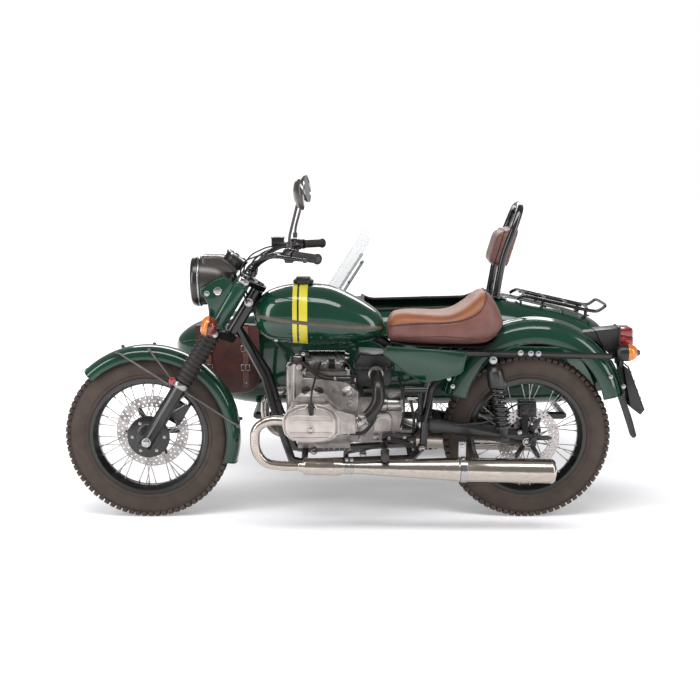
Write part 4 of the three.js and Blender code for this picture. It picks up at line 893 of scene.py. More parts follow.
def outline_piece(outline, levels, round_by=1.5, place=None, inset_axis=0):
    """A piece built up in level layers: each level is (y, inset) of the closed outline.

    place turns its own axes into the machine's, and the inset is true along inset_axis of the
    outline, 0 for x or 1 for z.
    """
    middle_x = sum(point[0] for point in outline) / len(outline)
    middle_z = sum(point[1] for point in outline) / len(outline)
    extent = max(abs(point[inset_axis] - (middle_x, middle_z)[inset_axis]) for point in outline)
    loop = list(outline) + [outline[0]]

    def shape(u, v):
        x, z = along_points(loop, u)
        y, inset = along_points(levels, v)
        scale = 1 - inset / extent
        point = (middle_x + (x - middle_x) * scale, y, middle_z + (z - middle_z) * scale)
        return place(*point) if place else point

    piece = surface(len(outline), len(levels) - 1, shape)
    return round_edges(piece, round_by, 3, 20) if round_by else piece


def barrel(sizes):
    """A finned barrel and its head, on the left side."""
    profile = [(0, -108), (66, -108)]
    start, end, thick = -122.0, -262.0, 3.2
    for index in range(sizes.fins):
        y = start + (end - start) * index / (sizes.fins - 1)
        profile += [(64, y + thick), (86, y + thick * 0.7), (88, y), (86, y - thick * 0.7),
                    (64, y - thick)]
    profile += [(64, -270), (0, -270)]
    fins = turned(profile, (CYLINDER_X, 0, CYLINDER_Z), steps=72)
    head = outline_piece(((-250, 432), (-250, 516), (-230, 544), (-80, 546), (-50, 522), (22, 502),
                          (22, 430), (-50, 424), (-78, 400), (-228, 400)),
                         [(-262, 8), (-270, 0), (-340, 0), (-347, 3)], 3.0)
    ribs = [box((-36 + 11 * step, -306, 447), (4, 84, 38), 1.2) for step in range(6)]
    ribs += [box((-150, -278 - 13 * step, 553), (120 - 6 * step, 4, 22), 1.2) for step in range(4)]
    return joined([fins, head, *ribs])


def valve_cover():
    """The cast rocker cover: a stepped shell with long ribs, a rim and one bolt in the middle."""
    shell = outline_piece(COVER_OUTLINE, [(-347, 0), (-353, 0), (-354, 5), (-366, 7), (-379, 15),
                                          (-381, 24)], 2.2)
    ribs = []
    for z, half in ((508, 74), (486, 84), (438, 84), (418, 70)):
        ribs.append(box((CYLINDER_X, -381, z), (half * 2, 11, 7), 2.5))
    for x in (-240, -66):
        ribs.append(box((x, -372, 466), (7, 14, 84), 3.0))
    notch = turned([(20, -356), (24, -360), (24, -378), (20, -382), (17, -378), (17, -360),
                    (20, -356)], (CYLINDER_X + 2, 0, 532), steps=40)
    boss = turned([(0, -386), (11, -386), (14, -383), (16, -376), (0, -376)],
                  (CYLINDER_X, 0, 456), steps=40)
    return joined([shell, *ribs, notch, boss])


class BuildEngine(bpy.types.Operator):
    """Crankcase, finned barrels, rocker covers, boots, plug caps, alternator, starter, hoses"""
    bl_idname = "machine.engine"
    bl_label = "Engine"

    def execute(self, context):
        sizes = context.scene.machine_sizes
        case = fine_copy("engine_block", 3.0)
        extras = []
        for s in (-1, 1):
            front_cover = outline_piece(((-258, 560), (-258, 642), (-236, 660), (-206, 656),
                                         (-190, 606), (-60, 604), (-10, 588), (36, 548), (36, 470),
                                         (-40, 440), (-250, 440)),
                                        [(s * 84, 0), (s * 112, 0), (s * 118, 6)], 4.0)
            weld(front_cover)
            extras.append(front_cover)
            for x, low, high in ((-246, 564, 640), (-226, 572, 652)):
                extras.append(box((x, s * 117, (low + high) / 2), (7, 10, high - low), 2.5))
            for x, z in ((-206, 650), (-224, 500), (-60, 560), (0, 500)):
                extras.append(rod((x, s * 112, z), (x, s * 122, z), 15, 12, 28, 2))
            for step in range(5):
                extras.append(box((-20 + 13 * step, s * 119, 470), (5, 6, 40), 1.5))
            extras.append(rod((-226, s * 116, 448), (-226, s * 116, 664), 7, sides=16))
            for x, z in ((-248, 650), (-196, 596), (-120, 596), (-20, 580), (24, 540), (-60, 590)):
                extras.append(bolt((x, s * 117, z), (0, s, 0), 5.5, 4))
            extras.append(turned([(0, 0), (26, 0), (26, 5), (18, 8), (18, 12), (0, 12)],
                                 (-8, s * 116, 548), (0, s, 0), 32))
            for x, z in ((100, 400), (100, 500), (180, 372), (180, 500), (60, 356)):
                extras.append(bolt((x, s * 88, z), (0, s, 0), 6, 5))
            extras.append(outline_piece(((96, 381), (96, 449), (110, 458), (160, 456), (173, 440),
                                         (173, 390), (160, 376), (110, 374)),
                                        [(s * 84, 0), (s * 100, 0), (s * 104, 5)], 3.0))
            extras.append(box((136, s * 106, 424), (34, 4, 14), 1.0))
        fins_below = [box((-110 + 22 * step, 0, 300), (5, 120, 16), 1.5) for step in range(6)]
        finish(joined([case, *extras, *fins_below]), "crankcase", "chassis",
               "cast_alloy", ["engine_block"], smooth=35)

        left = barrel(sizes)
        right = mirrored(left)
        finish(left, "barrel_left", "chassis", "cast_alloy",
               ["cylinder_left"])
        finish(right, "barrel_right", "chassis", "cast_alloy",
               ["cylinder_right"])
        left = valve_cover()
        right = mirrored(left)
        finish(left, "rocker_cover_left", "chassis", "cover_alloy",
               ["valve_cover_left"])
        finish(right, "rocker_cover_right", "chassis", "cover_alloy",
               ["valve_cover_right"])

        boots, tubes, caps, bright = [], [], [], []
        for x, z in ((-178, 556), (-126, 554)):
            boots.append(turned([(11, 0), (17, 2), (19, 8), (17, 14), (15, 22), (11, 24), (11, 0)],
                                (x, -118, z), (0, -1, -0.18), 32))
            tubes.append(rod((x, -118, z), (x + 2, -290, z - 32), 10, round_by=1))
        caps.append(pipe(bent([(-150, -345, 512), (-150, -392, 526), (-150, -388, 560)], 16), 11))
        caps.append(pipe(bent([(-150, -388, 556), (-148, -360, 600), (-132, -150, 640),
                               (-120, -60, 660)], 40), 4))
        for place, size, height in (((CYLINDER_X, -386, 456), 8, 5), ((-148, -128, 306), 12, 9),
                                    ((53, -128, 295), 12, 9), ((108, -96, 352), 9, 7)):
            bright.append(bolt(place, (0, -1, 0), size, height))
        for parts, name, slot, material in ((boots, "pushrod_boots", "black_rubber", "black_rubber"),
                                            (tubes, "pushrod_tubes", "wheel_metal", "alloy_bright"),
                                            (caps, "plug_caps", "black_rubber", "black_rubber"),
                                            (bright, "engine_bolts", "wheel_metal", "chrome")):
            one = joined(parts)
            other = mirrored(one)
            finish(joined([one, other]), name, "chassis", material)

        alternator = turned([(0, -184), (30, -184), (36, -176), (38, -160), (38, -150), (34, -149),
                             (34, -146), (38, -145), (38, -112), (39, -110), (39, -96), (36, -94),
                             (36, -90), (39, -88), (39, -70), (36, -68), (36, -64), (39, -62),
                             (39, -44), (38, -42), (38, -22), (30, -18), (26, -18), (26, -6),
                             (0, -6)], (0, 0, 655), (1, 0, 0), 48)
        slots = scattered(box((-132, 0, 693), (26, 4, 5), 1.0), turns((-132, 0, 655), 18, "X"))
        mount = fine_copy("dynamo", 1.0)
        finish(joined([alternator, slots, mount]), "alternator", "chassis",
               "alloy_bright", ["dynamo"])
        band = turned([(39.5, -88), (39.5, -62)], (0, 0, 655), (1, 0, 0), 48)
        modify(band, "SOLIDIFY", thickness=0.002)
        pulley = turned([(0, -200), (24, -200), (32, -196), (24, -190), (32, -186), (0, -186)],
                        (0, 0, 655), (1, 0, 0), 40)
        finish(joined([band, pulley]), "alternator_band", "chassis",
               "black_plastic")
        starter = turned([(0, 120), (30, 120), (32, 124), (32, 150), (28, 153), (28, 206),
                          (24, 212), (0, 212)], (0, -88, 492), (1, 0, 0), 40)
        finish(starter, "starter", "chassis", "alloy_bright")

        hoses = [pipe(bent([(-262, -70, 628), (-240, -100, 664), (-196, -112, 668),
                            (-120, -122, 608), (-40, -124, 602), (20, -110, 598)], 34), 7),
                 pipe(bent([(-200, -92, 672), (-150, -104, 636), (-90, -118, 614),
                            (30, -100, 610)], 30), 4.5),
                 pipe(bent([(-30, -124, 380), (60, -210, 396), (110, -190, 470),
                            (120, -120, 520)], 40), 8),
                 pipe(bent([(-60, -40, 700), (-30, -110, 690), (10, -120, 640),
                            (26, -116, 560)], 26), 3.5)]
        finish(joined(hoses), "engine_hoses", "chassis", "black_rubber")
        return {"FINISHED"}


# ------------------------------------------------------------------ intake and exhaust
class BuildIntake(bpy.types.Operator):
    """Air box with its lid, rubber bends, clamps and throttle bodies"""
    bl_idname = "machine.intake"
    bl_label = "Intake"

    def execute(self, context):
        case = outline_piece(((22, 566), (20, 640), (170, 640), (168, 572), (150, 564)),
                             [(-86, 0), (86, 0)], 5)
        lid = outline_piece(((17, 641), (17, 664), (38, 700), (150, 694), (172, 680), (173, 641)),
                            [(-84, 5), (-90, 0), (90, 0), (84, 5)], 5)
        lip = box((95, 0, 641), (160, 188, 5), 1.5)
        clips = [box((x, s * 92, 645), (12, 6, 26), 1.5) for x in (40, 146) for s in (-1, 1)]
        finish(joined([case, lid, lip, *clips]), "air_box", "chassis",
               "black_plastic", ["air_intake"])
        route = bent([(100, -76, 630), (104, -170, 632), (112, -262, 606), (112, -282, 540),
                      (84, -292, 500), (52, -296, 472)], 46, 8)
        rings = [turned([(24, 0), (30, 2), (30, 8), (24, 10), (24, 0)], place, way, 40)
                 for place, way in (((104, -150, 632), (0, -1, 0)), ((62, -294, 481), (-1, 0, -0.8)))]
        bend = pipe(route, 25, round_sides=10)
        finish(joined([bend, mirrored(bend)]), "intake_bends", "chassis",
               "gloss_rubber")
        body = rod((62, -294, 482), (24, -298, 466), 26, round_by=2, sides=40)
        flange = rod((26, -298, 467), (20, -298, 466), 33, round_by=2, sides=40)
        cap = rod((44, -318, 500), (44, -296, 470), 15, round_by=2)
        linkage = rod((40, -322, 470), (40, -340, 470), 8, round_by=1)
        part = joined([body, flange, cap, linkage, *rings])
        finish(joined([part, mirrored(part)]), "throttle_bodies", "chassis",
               "alloy_bright")
        return {"FINISHED"}


def exhaust_side():
    """Front pipe, collector, cone and silencer of the left side."""
    y, port = -262.0, -250.0
    route = bent([(port, -300, 470), (-318, -300, 474), (-374, -297, 440), (-376, -292, 352),
                  (-340, -284, 292), (-270, -266, 278), (-200, y, 276.5)], 60, 10)
    front = Vector((-109, y, 274.5))
    line = (Vector((620, y, 259.5)) - front).normalized()
    pieces = [pipe(route, 19, round_sides=12)]
    pieces.append(rod((port - 2, -300, 470), (port - 16, -300, 470.5), 27, round_by=3, sides=40))
    pieces.append(turned([(20, -96), (22, -92), (22, -84), (33.5, -70), (34, -66), (34, -30),
                          (35, -28), (35, -22), (34, -20), (34, 40), (35, 42), (35, 48), (34, 50),
                          (34, 66), (26, 84), (25, 124), (27, 150), (47, 520), (48, 532),
                          (49.5, 534), (49.5, 540), (48, 542), (48, 906), (49.5, 908), (49.5, 914),
                          (47, 918), (42, 924), (24, 926), (22, 930), (19, 930), (19, 900),
                          (0, 900)], front, line, 56))
    bands = []
    for along in (96, 116):
        bands.append(turned([(26, along - 7), (29, along - 6), (29, along + 6), (26, along + 7),
                             (26, along - 7)], front, line, 40))
        lug = front + line * along
        bands.append(box(lug + Vector((0, -4, 33)), (13, 16, 14), 2))
        bands.append(bolt(lug + Vector((0, -12, 33)), (0, -1, 0), 5, 5))
    bands.append(turned([(48.5, 548), (51.5, 549), (51.5, 573), (48.5, 574), (48.5, 548)], front,
                        line, 56))
    bands.append(box((446, y + 2, 334), (30, 6, 84), 2.5))
    bands.append(bolt((446, y - 1, 362), (0, -1, 0), 9, 7))
    return joined(pieces), joined(bands)


class BuildExhausts(bpy.types.Operator):
    """Both exhausts with their clamps and hangers"""
    bl_idname = "machine.exhausts"
    bl_label = "Exhausts"

    def execute(self, context):
        pipes, bands = exhaust_side()
        right_pipes, right_bands = mirrored(pipes), mirrored(bands)
        finish(pipes, "exhaust_pipe_left", "chassis", "stainless",
               ["exhaust_left"], smooth=40)
        finish(right_pipes, "exhaust_pipe_right", "chassis", "stainless",
               ["exhaust_right"], smooth=40)
        finish(joined([bands, right_bands]), "exhaust_clamps", "chassis",
               "chrome", smooth=35)
        return {"FINISHED"}


# ------------------------------------------------------------------ fork, lamp and bar
FORK_UP = 289.0  # from the axle to the top of the slider, along the leg
LEG_Y = 110.0


def fork_point(x, y, z):
    """A point in the fork's own axes: x behind the legs, z up them from the slider's top."""
    return leg_point(FORK_UP + z, y, x)


def fork_turned(profile, y):
    """A turned piece on a fork leg, measured up from the slider's top."""
    return turned(profile, fork_point(0, y, 0), UP_LEG, 48)


class BuildFork(bpy.types.Operator):
    """Rubber boots, slider rings, painted covers with their ears, reflectors, caps and bolts"""
    bl_idname = "machine.fork"
    bl_label = "Fork"

    def execute(self, context):
        rings, bolts = [], []
        for label, side in (("left", -1), ("right", 1)):
            y = side * LEG_Y
            profile, ribs, length = [(24, 1)], 11, 226.0
            for rib in range(ribs):
                base = 1 + length * rib / ribs
                pitch = length / ribs
                profile += [(31, base + pitch * 0.08), (37, base + pitch * 0.3),
                            (39, base + pitch * 0.5), (37, base + pitch * 0.7),
                            (31, base + pitch * 0.92)]
            profile += [(31, 227), (24, 227), (24, 1)]
            boot = fork_turned(profile, y)
            finish(boot, f"fork_boot_{label}", "fork_lowers",
                   "black_rubber", [f"gaiter_{label}"], smooth=60)
            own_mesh(boot)
            rings.append(fork_turned([(30.5, -26), (34, -25), (36, -20), (36, -6), (34, -2),
                                      (30.5, -1), (30.5, -26)], y))
            reflector = fork_point(-36, y - 6, -14)
            bolts.append(bolt(fork_point(0, side * 138, -FORK_UP), (0, side, 0), 15, 10))
            cover = fork_turned([(24.5, 269), (30, 269), (31, 272), (31, 470), (29, 473),
                                 (24.5, 473), (24.5, 269)], y)
            bead = [fork_turned([(31, z - 3), (33.5, z), (31, z + 3), (31, z - 3)], y)
                    for z in (280, 462)]
            ear = outline_piece(((-24, 284), (-24, 446), (-44, 462), (-70, 464), (-96, 436),
                                (-120, 386), (-128, 364), (-120, 350), (-100, 348), (-76, 334),
                                (-54, 306), (-38, 280)), [(side * 9, 1), (side * 10, 0), (side * 14, 0),
                                              (side * 15.5, 4)], 0,
                                lambda x, h, z: fork_point(x, y + h, z), 1)
            rim = pipe([fork_point(x, y + side * 15, z) for x, z in
                        bent_2d(((-40, 452), (-68, 460), (-93, 432), (-116, 386), (-123, 366),
                                 (-116, 354), (-98, 352), (-74, 337), (-52, 309), (-38, 288)), 12)], 2.2)
            weld(ear)
            finish(joined([cover, ear, rim, *bead]), f"painted_cover_{label}", "steering",
                   "paint_green", [f"fork_cover_{label}"], smooth=40)
            badge = turned([(0, 20), (9, 20), (14, 18.5), (16, 20), (17.5, 18), (17.5, 15), (0, 15)],
                           fork_point(-66, y, 398), (0, side, 0), 40)
            finish(badge, f"ear_disc_{label}", "steering", "alloy_bright")
            bolts.append(bolt(fork_point(-98, y + side * 15, 366), (0, side, 0), 9, 6))
            cap = fork_turned([(0, 512), (14, 512), (17, 508), (18, 498), (27, 497), (29, 494),
                               (29, 479), (27, 476), (0, 476)], y)
            finish(cap, f"fork_cap_{label}", "steering", "chrome")
            dot = rod(reflector + Vector((0, side * 4, 0)), reflector + Vector((0, side * 14, 0)),
                      17, round_by=3, sides=32)
            finish(dot, f"reflector_{label}", "fork_lowers", "lens_red")
        finish(joined(rings), "slider_rings", "fork_lowers", "alloy_bright")
        finish(joined(bolts[::2]), "axle_nuts", "fork_lowers", "chrome")
        finish(joined(bolts[1::2] + [
            bolt(fork_point(14, side * 134, z), (0, side, 0), 9, 7)
            for side in (-1, 1) for z in (240, 486)]),
               "yoke_bolts", "steering", "chrome")
        return {"FINISHED"}


def bent_2d(points, bend):
    """A rounded route through flat points."""
    return [(p.x, p.z) for p in bent([(x, 0, z) for x, z in points], bend)]


class BuildHeadlamp(bpy.types.Operator):
    """Lamp shell, rim, lens, instrument pod, speedometer and front indicator"""
    bl_idname = "machine.headlamp"
    bl_label = "Headlamp"

    def execute(self, context):
        centre, ahead = (-620, 0, 989), (1, 0, 0.02)
        shell = turned([(97, 8), (98, 22), (95, 52), (90, 80), (80, 106), (64, 126), (40, 138),
                        (0, 143), (0, 136), (60, 118), (90, 70), (93, 8), (97, 8)], centre, ahead, 72)
        pod = outline_piece(((-606, 1030), (-606, 1086), (-598, 1098), (-520, 1097), (-478, 1066),
                            (-456, 1040), (-462, 1020), (-520, 1010)),
                           [(-64, 14), (-58, 3), (-40, 0), (40, 0), (58, 3), (64, 14)],
                           6, inset_axis=1)
        finish(joined([shell, pod]), "lamp_shell", "steering",
               "satin_shell", ["headlamp"], smooth=50)
        rim = turned([(88, -24), (94, -24), (99, -19), (101.5, -8), (102, 4), (100, 10), (95, 12),
                      (92, 6), (90, -14), (88, -24)], centre, ahead, 72)
        finish(rim, "lamp_rim", "steering", "paint_black", smooth=50)
        trim = turned([(101.8, 4), (103.2, 6), (103.2, 10), (101, 12), (101.8, 4)], centre, ahead,
                      72)
        finish(trim, "lamp_trim", "steering", "alloy_bright")
        lens = turned([(0, -34), (30, -33), (60, -30), (80, -25), (89, -20), (89, -14), (0, -14)],
                      centre, ahead, 72)
        finish(lens, "lamp_lens", "steering", "lamp_glass", smooth=60)
        bowl = turned([(0, 60), (30, 52), (60, 30), (86, -12), (84, -12), (58, 34), (0, 66)],
                      centre, ahead, 64)
        finish(bowl, "lamp_reflector", "steering", "mirror_glass")
        dial_at, slope = Vector((-464, 0, 1083)), Vector((0.56, 0, 0.83)).normalized()
        case = turned([(0, -36), (36, -36), (43, -30), (46, 0), (49, 3), (49, 9), (46, 12),
                       (46, 6), (0, 6)], dial_at, slope, 64)
        finish(case, "speedometer_case", "steering", "black_plastic",
               ["speedometer"])
        bezel = turned([(43, 10), (45, 14), (48.5, 13), (49.5, 9), (48.5, 8), (43, 10)], dial_at,
                       slope, 64)
        finish(bezel, "speedometer_bezel", "steering", "chrome")
        face = turned([(0, 7.5), (43.5, 7.5), (43.5, 6), (0, 6)], dial_at, slope, 48)
        finish(face, "speedometer_face", "steering", "dial_white")
        across = slope.cross(Vector((0, 1, 0))).normalized()
        ticks = []
        for index in range(21):
            angle = math.radians(-225 + 13.5 * index)
            out = across * math.sin(angle) + Vector((0, 1, 0)) * math.cos(angle)
            reach = 30 if index % 2 else 27
            ticks.append(rod(dial_at + slope * 8 + out * reach, dial_at + slope * 8 + out * 38, 0.7,
                             sides=6))
        needle_way = across * math.sin(math.radians(-200)) + Vector((0, 1, 0)) * math.cos(
            math.radians(-200))
        ticks.append(rod(dial_at + slope * 9, dial_at + slope * 9 + needle_way * 32, 1.2, 0.5, 8))
        ticks.append(rod(dial_at + slope * 7.8, dial_at + slope * 11, 5, sides=20))
        finish(joined(ticks), "speedometer_marks", "steering",
               "black_plastic")
        hub = Vector((-566, -188, 829))
        lens = turned([(0, -24), (24, -23), (36, -14), (42, -2), (42, 6), (0, 6)], hub, (1, 0, -0.2))
        red = turned([(0, 6.5), (42, 6.5), (38, 20), (26, 34), (0, 38)], hub, (1, 0, -0.2))
        finish(lens, "indicator_lens", "steering", "lens_orange",
               ["front_indicator"], smooth=60)
        finish(red, "indicator_back", "steering", "lens_amber_dark", smooth=60)
        stalk = pipe([(-552, -150, 829), (-556, -172, 829)], 9)
        ring = turned([(42, 5), (44.5, 5), (44.5, 8), (42, 8), (42, 5)], hub, (1, 0, -0.2), 48)
        finish(joined([stalk, ring]), "indicator_stalk", "steering",
               "black_plastic")
        return {"FINISHED"}


GRIP_IN, GRIP_OUT = Vector((-212, 285, 1118)), Vector((-119, 395, 1114))


def grip(start, end):
    """A flared, ringed rubber grip."""
    way = end - start
    length = way.length
    profile = [(12, 4), (19, 4), (21, 8), (20, 14), (17, 20)]
    rings = 12
    for ring in range(rings):
        place = 24 + (length - 44) * ring / rings
        profile += [(16.2, place), (17.4, place + 2), (17.4, place + 5), (16.2, place + 7)]
    profile += [(17.5, length - 14), (20.5, length - 9), (20.5, length - 3), (17, length),
                (12, length), (12, 4)]
    return turned(profile, start, way, 32)


class BuildBar(bpy.types.Operator):
    """Handlebar, grips, switches, levers, reservoir, mirrors and control cables"""
    bl_idname = "machine.bar"
    bl_label = "Bar and controls"

    def execute(self, context):
        bend = [(-394, 46, 1039), (-366, 120, 1075), (-320, 186, 1107), (-276, 232, 1119),
                tuple(GRIP_IN), tuple(GRIP_OUT)]
        half = bent(bend, 60, 8)
        route = [Vector((p.x, -p.y, p.z)) for p in reversed(half)] + half
        pieces = [pipe(route, 11, round_sides=8)]
        for s in (-1, 1):
            inner = Vector((-250, s * 256, 1121))
            outer = Vector((GRIP_IN.x - 2, s * (GRIP_IN.y - 2), GRIP_IN.z))
            pieces.append(rod(inner, outer, 24, round_by=4, sides=32))
            pieces.append(box(inner.lerp(outer, 0.4) + Vector((0, 0, -20)), (34, 34, 22), 5))
            pieces.append(box((-262, s * 252, 1119), (60, 22, 20), 4))
            pieces.append(box((-280, s * 268, 1117), (24, 34, 18), 4))
            pieces.append(rod((-400, s * 34, 1012), (-394, s * 34, 1042), 17, round_by=3))
            pieces.append(bolt((-394, s * 34, 1054), (0.1, 0, 1), 8, 6))
        pieces.append(box((-308, 238, 1132), (54, 50, 34), 4))
        pieces.append(box((-308, 238, 1150), (58, 54, 5), 1.5))
        finish(joined(pieces), "handlebar_tube", "steering", "paint_black",
               ["handlebar"], smooth=40)
        left_in, left_out = (Vector((p.x, -p.y, p.z)) for p in (GRIP_IN, GRIP_OUT))
        finish(grip(left_in, left_out), "grip_left", "steering",
               "black_rubber", smooth=50)
        finish(grip(GRIP_IN + (GRIP_OUT - GRIP_IN) * 0.04, GRIP_OUT), "grip_right",
               "throttle_grip", "black_rubber", ["throttle_grip"],
               smooth=50)
        for side, name in ((-1, "clutch_lever"), (1, "brake_lever")):
            blade = bent([(-280, side * 284, 1117), (-268, side * 324, 1117),
                          (-228, side * 374, 1115), (-184, side * 424, 1113),
                          (-168, side * 444, 1113)], 30, 6)
            radii = [8.5 - 3.5 * step / (len(blade) - 1) for step in range(len(blade))]
            lever = joined([pipe(blade, 8, radii, round_sides=6),
                            rod((-280, side * 284, 1107), (-280, side * 284, 1127), 12, round_by=2),
                            rod((-172, side * 440, 1113), (-164, side * 450, 1113), 9, round_by=3)])
            finish(lever, name + "_blade", name, "paint_black", [name])
        for side, label in ((-1, "left"), (1, "right")):
            self.mirror(side, label)
        cables = []
        for s in (-1, 1):
            cables.append(pipe(bent([(-286, s * 262, 1110), (-352, s * 232, 1098),
                                     (-416, s * 130, 1060), (-436, s * 60, 960),
                                     (-420, s * 40, 900)], 60, 8), 4))
            cables.append(pipe(bent([(-262, s * 240, 1104), (-340, s * 210, 1118),
                                     (-430, s * 120, 1080), (-448, s * 66, 1000),
                                     (-440, s * 50, 930)], 60, 8), 3.2))
        finish(joined(cables), "bar_cables", "steering", "black_rubber")
        return {"FINISHED"}

    def mirror(self, side, label):
        """A round mirror head on its bent stem."""
        stem = pipe(bent([(-236, side * 262, 1147), (-234, side * 263, 1190),
                          (-214, side * 290, 1265), (-200, side * 314, 1318)], 40, 6), 5.5)
        foot = rod((-236, side * 262, 1147), (-235, side * 262.5, 1170), 10, round_by=2)
        centre = Vector((-194, side * 330, 1353))
        face = Vector((1, side * -0.18, 0.12)).normalized()
        shell = turned([(0, -19), (24, -17), (44, -11), (56, -2), (60, 5), (60, 9), (56, 9),
                        (0, 6)], centre, face, 48)
        name = f"mirror_{label}"
        finish(joined([stem, foot, shell]), name + "_shell", name,
               "satin_shell", [name], smooth=50)
        glass = turned([(0, 10.5), (30, 10.2), (54, 9.2), (55, 8), (0, 6.5)], centre, face, 48)
        finish(glass, name + "_glass", name, "mirror_glass")
        ring = turned([(55, 8), (56, 11), (59.5, 11), (60.5, 8), (60, 6), (55, 8)], centre, face, 48)
        finish(ring, name + "_edge", name, "chrome")


# ------------------------------------------------------------------ mudguards
def guard_skin(centre, radius, half, depth, start, end, ridge=0.0, beads=()):
    """A rolled mudguard: crowned across, with deep sides and beaded edges."""
    x, y, z = centre

    def shape(u, v):
        lean = math.pi * (1.06 - 1.12 * u)
        across = math.copysign(abs(math.cos(lean)) ** 0.78, math.cos(lean))
        lift = max(0.0, math.sin(lean)) ** 0.78
        spine = ridge * math.exp(-(across / 0.13) ** 2)
        side = -min(0.0, math.sin(lean)) * depth * 0.6
        out = radius - depth + depth * lift + spine - ridge - side
        angle = math.radians(start + (end - start) * v)
        return (x + out * math.cos(angle), y + half * across, z + out * math.sin(angle))

    skin = surface(40, 72, shape, wrap=False, caps=False, wall=2.4)
    edges = [pipe([shape(u, step / 60) for step in range(61)], 2.6)
             for u in (0.0, 1.0, *beads)]
    ends = [pipe([shape(step / 30, v) for step in range(31)], 2.6) for v in (0.0, 1.0)]
    return joined([skin, *edges, *ends])


class BuildMudguards(bpy.types.Operator):
    """Three mudguards, their stays, flap, plate holder, tail lamp and indicator"""
    bl_idname = "machine.mudguards"
    bl_label = "Mudguards and lamps"

    def execute(self, context):
        front = middle("front_tyre")
        finish(guard_skin(front, 380, 68.5, 46, -17.6, 133), "front_guard", "fork_lowers",
               "paint_green", ["front_mudguard"], smooth=50)
        stays = []
        for s in (-1, 1):
            for a, b in (((-736, 567), (-953, 706)), ((-700, 552), (-820, 716)),
                         ((-678, 541), (-462, 396))):
                stays.append(pipe([(a[0], s * 74, a[1]), (b[0], s * 69, b[1])], 4.2))
                stays.append(bolt((b[0], s * 69, b[1]), (0, s, 0), 6, 4))
        finish(joined(stays), "front_stays", "fork_lowers", "grey_steel")
        guard = guard_skin((757, 0, 456), 387, 88, 84, 11, 168, 5.0, beads=(0.25, 0.36, 0.64, 0.75))
        finish(guard, "rear_guard", "chassis", "paint_green",
               ["rear_mudguard"], smooth=50)
        side = guard_skin((385, 1130, 415), 375, 74.5, 56, 2, 178, ridge=3.0)
        finish(side, "sidecar_guard", "chassis", "paint_green",
               ["sidecar_mudguard"], smooth=50)
        posts = [rod((x, 1054, 600), (x, 1016, 600), 8, round_by=1) for x in (120, 660)]
        posts += [rod((x, s * 86, z), (x, s * 114, z), 7, round_by=1)
                  for s in (-1, 1) for x, z in ((950, 698), (560, 706))]
        finish(joined(posts), "guard_posts", "chassis", "paint_black")

        def flap(u, v):
            width = 84 - 18 * v ** 3
            y = (u * 2 - 1) * width
            return (1118 + 66 * v + 6 * math.sin(math.pi * v), y,
                    536 - 201 * v + 22 * abs(u * 2 - 1) ** 3 * v ** 4)

        sheet = surface(16, 14, flap, wrap=False, caps=False, wall=5)
        finish(sheet, "mud_flap", "chassis", "black_rubber", smooth=50)
        holder = fine_copy("plate_bracket", 1.5)
        frame_edge = pipe([(1136, y, 646) if top else (1207, y, 466) for y, top in
                           ((-80, 1), (80, 1), (80, 0), (-80, 0))], 3.5, closed=True)
        finish(joined([holder, frame_edge]), "plate_holder", "chassis",
               "black_plastic", ["plate_bracket"])
        studs = [bolt((1150 + 44 * t, -62, 620 - 108 * t), (0.9, 0, 0.37), 4, 3)
                 for t in (0.0, 0.35, 0.7, 1.0)]
        studs += [bolt((x, -89, z), (0, -1, 0), 7, 5) for x, z in ((1064, 606), (1118, 566),
                                                                  (420, 566), (404, 598))]
        studs += [bolt((x, -144, z), (0, -1, 0), 9, 6) for x, z in ((727, 712), (758, 711),
                                                                   (573, 697), (686, 714))]
        finish(joined(studs), "rear_studs", "chassis", "chrome")

        lower = box((1131, 0, 746), (58, 96, 34), 6)
        upper = box((1129, 0, 782), (56, 96, 36), 6)
        ribs = [box((1160, 0, 738 + 8 * step), (3, 84, 3), 1) for step in range(7)]
        finish(joined([lower, upper, *ribs]), "tail_lens", "chassis",
               "lens_red", ["tail_lamp"])
        arm = outline_piece(((868, 758), (884, 774), (1000, 786), (1098, 802), (1102, 716),
                             (1040, 716), (1010, 744)), [(-30, 3), (-33, 0), (33, 0), (30, 3)], 3)
        cheek = outline_piece(((1004, 790), (1100, 800), (1102, 700), (1066, 692), (1040, 722)),
                              [(-46, 3), (-50, 0), (50, 0), (46, 3)], 3)
        back = box((1102, 0, 764), (9, 104, 82), 3)
        base = turned([(0, -50), (20, -50), (33, -36), (35, -24), (35, -8), (0, -8)],
                      (1128, -118, 711), (1, 0, 0), 40)
        tip = turned([(0, 44), (9, 43), (14, 34), (14, 26), (0, 26)], (1128, -118, 711), (1, 0, 0),
                     32)
        stalk = pipe([(1092, -20, 724), (1092, -100, 712)], 9)
        finish(joined([arm, cheek, back, base, tip, stalk]), "tail_bracket", "chassis",
               "black_plastic")
        lens = turned([(0, -7), (34.5, -7), (35, 0), (32, 14), (24, 27), (14, 32), (0, 33)],
                      (1128, -118, 711), (1, 0, 0), 48)
        finish(lens, "rear_indicator", "chassis", "lens_orange", smooth=60)
        return {"FINISHED"}


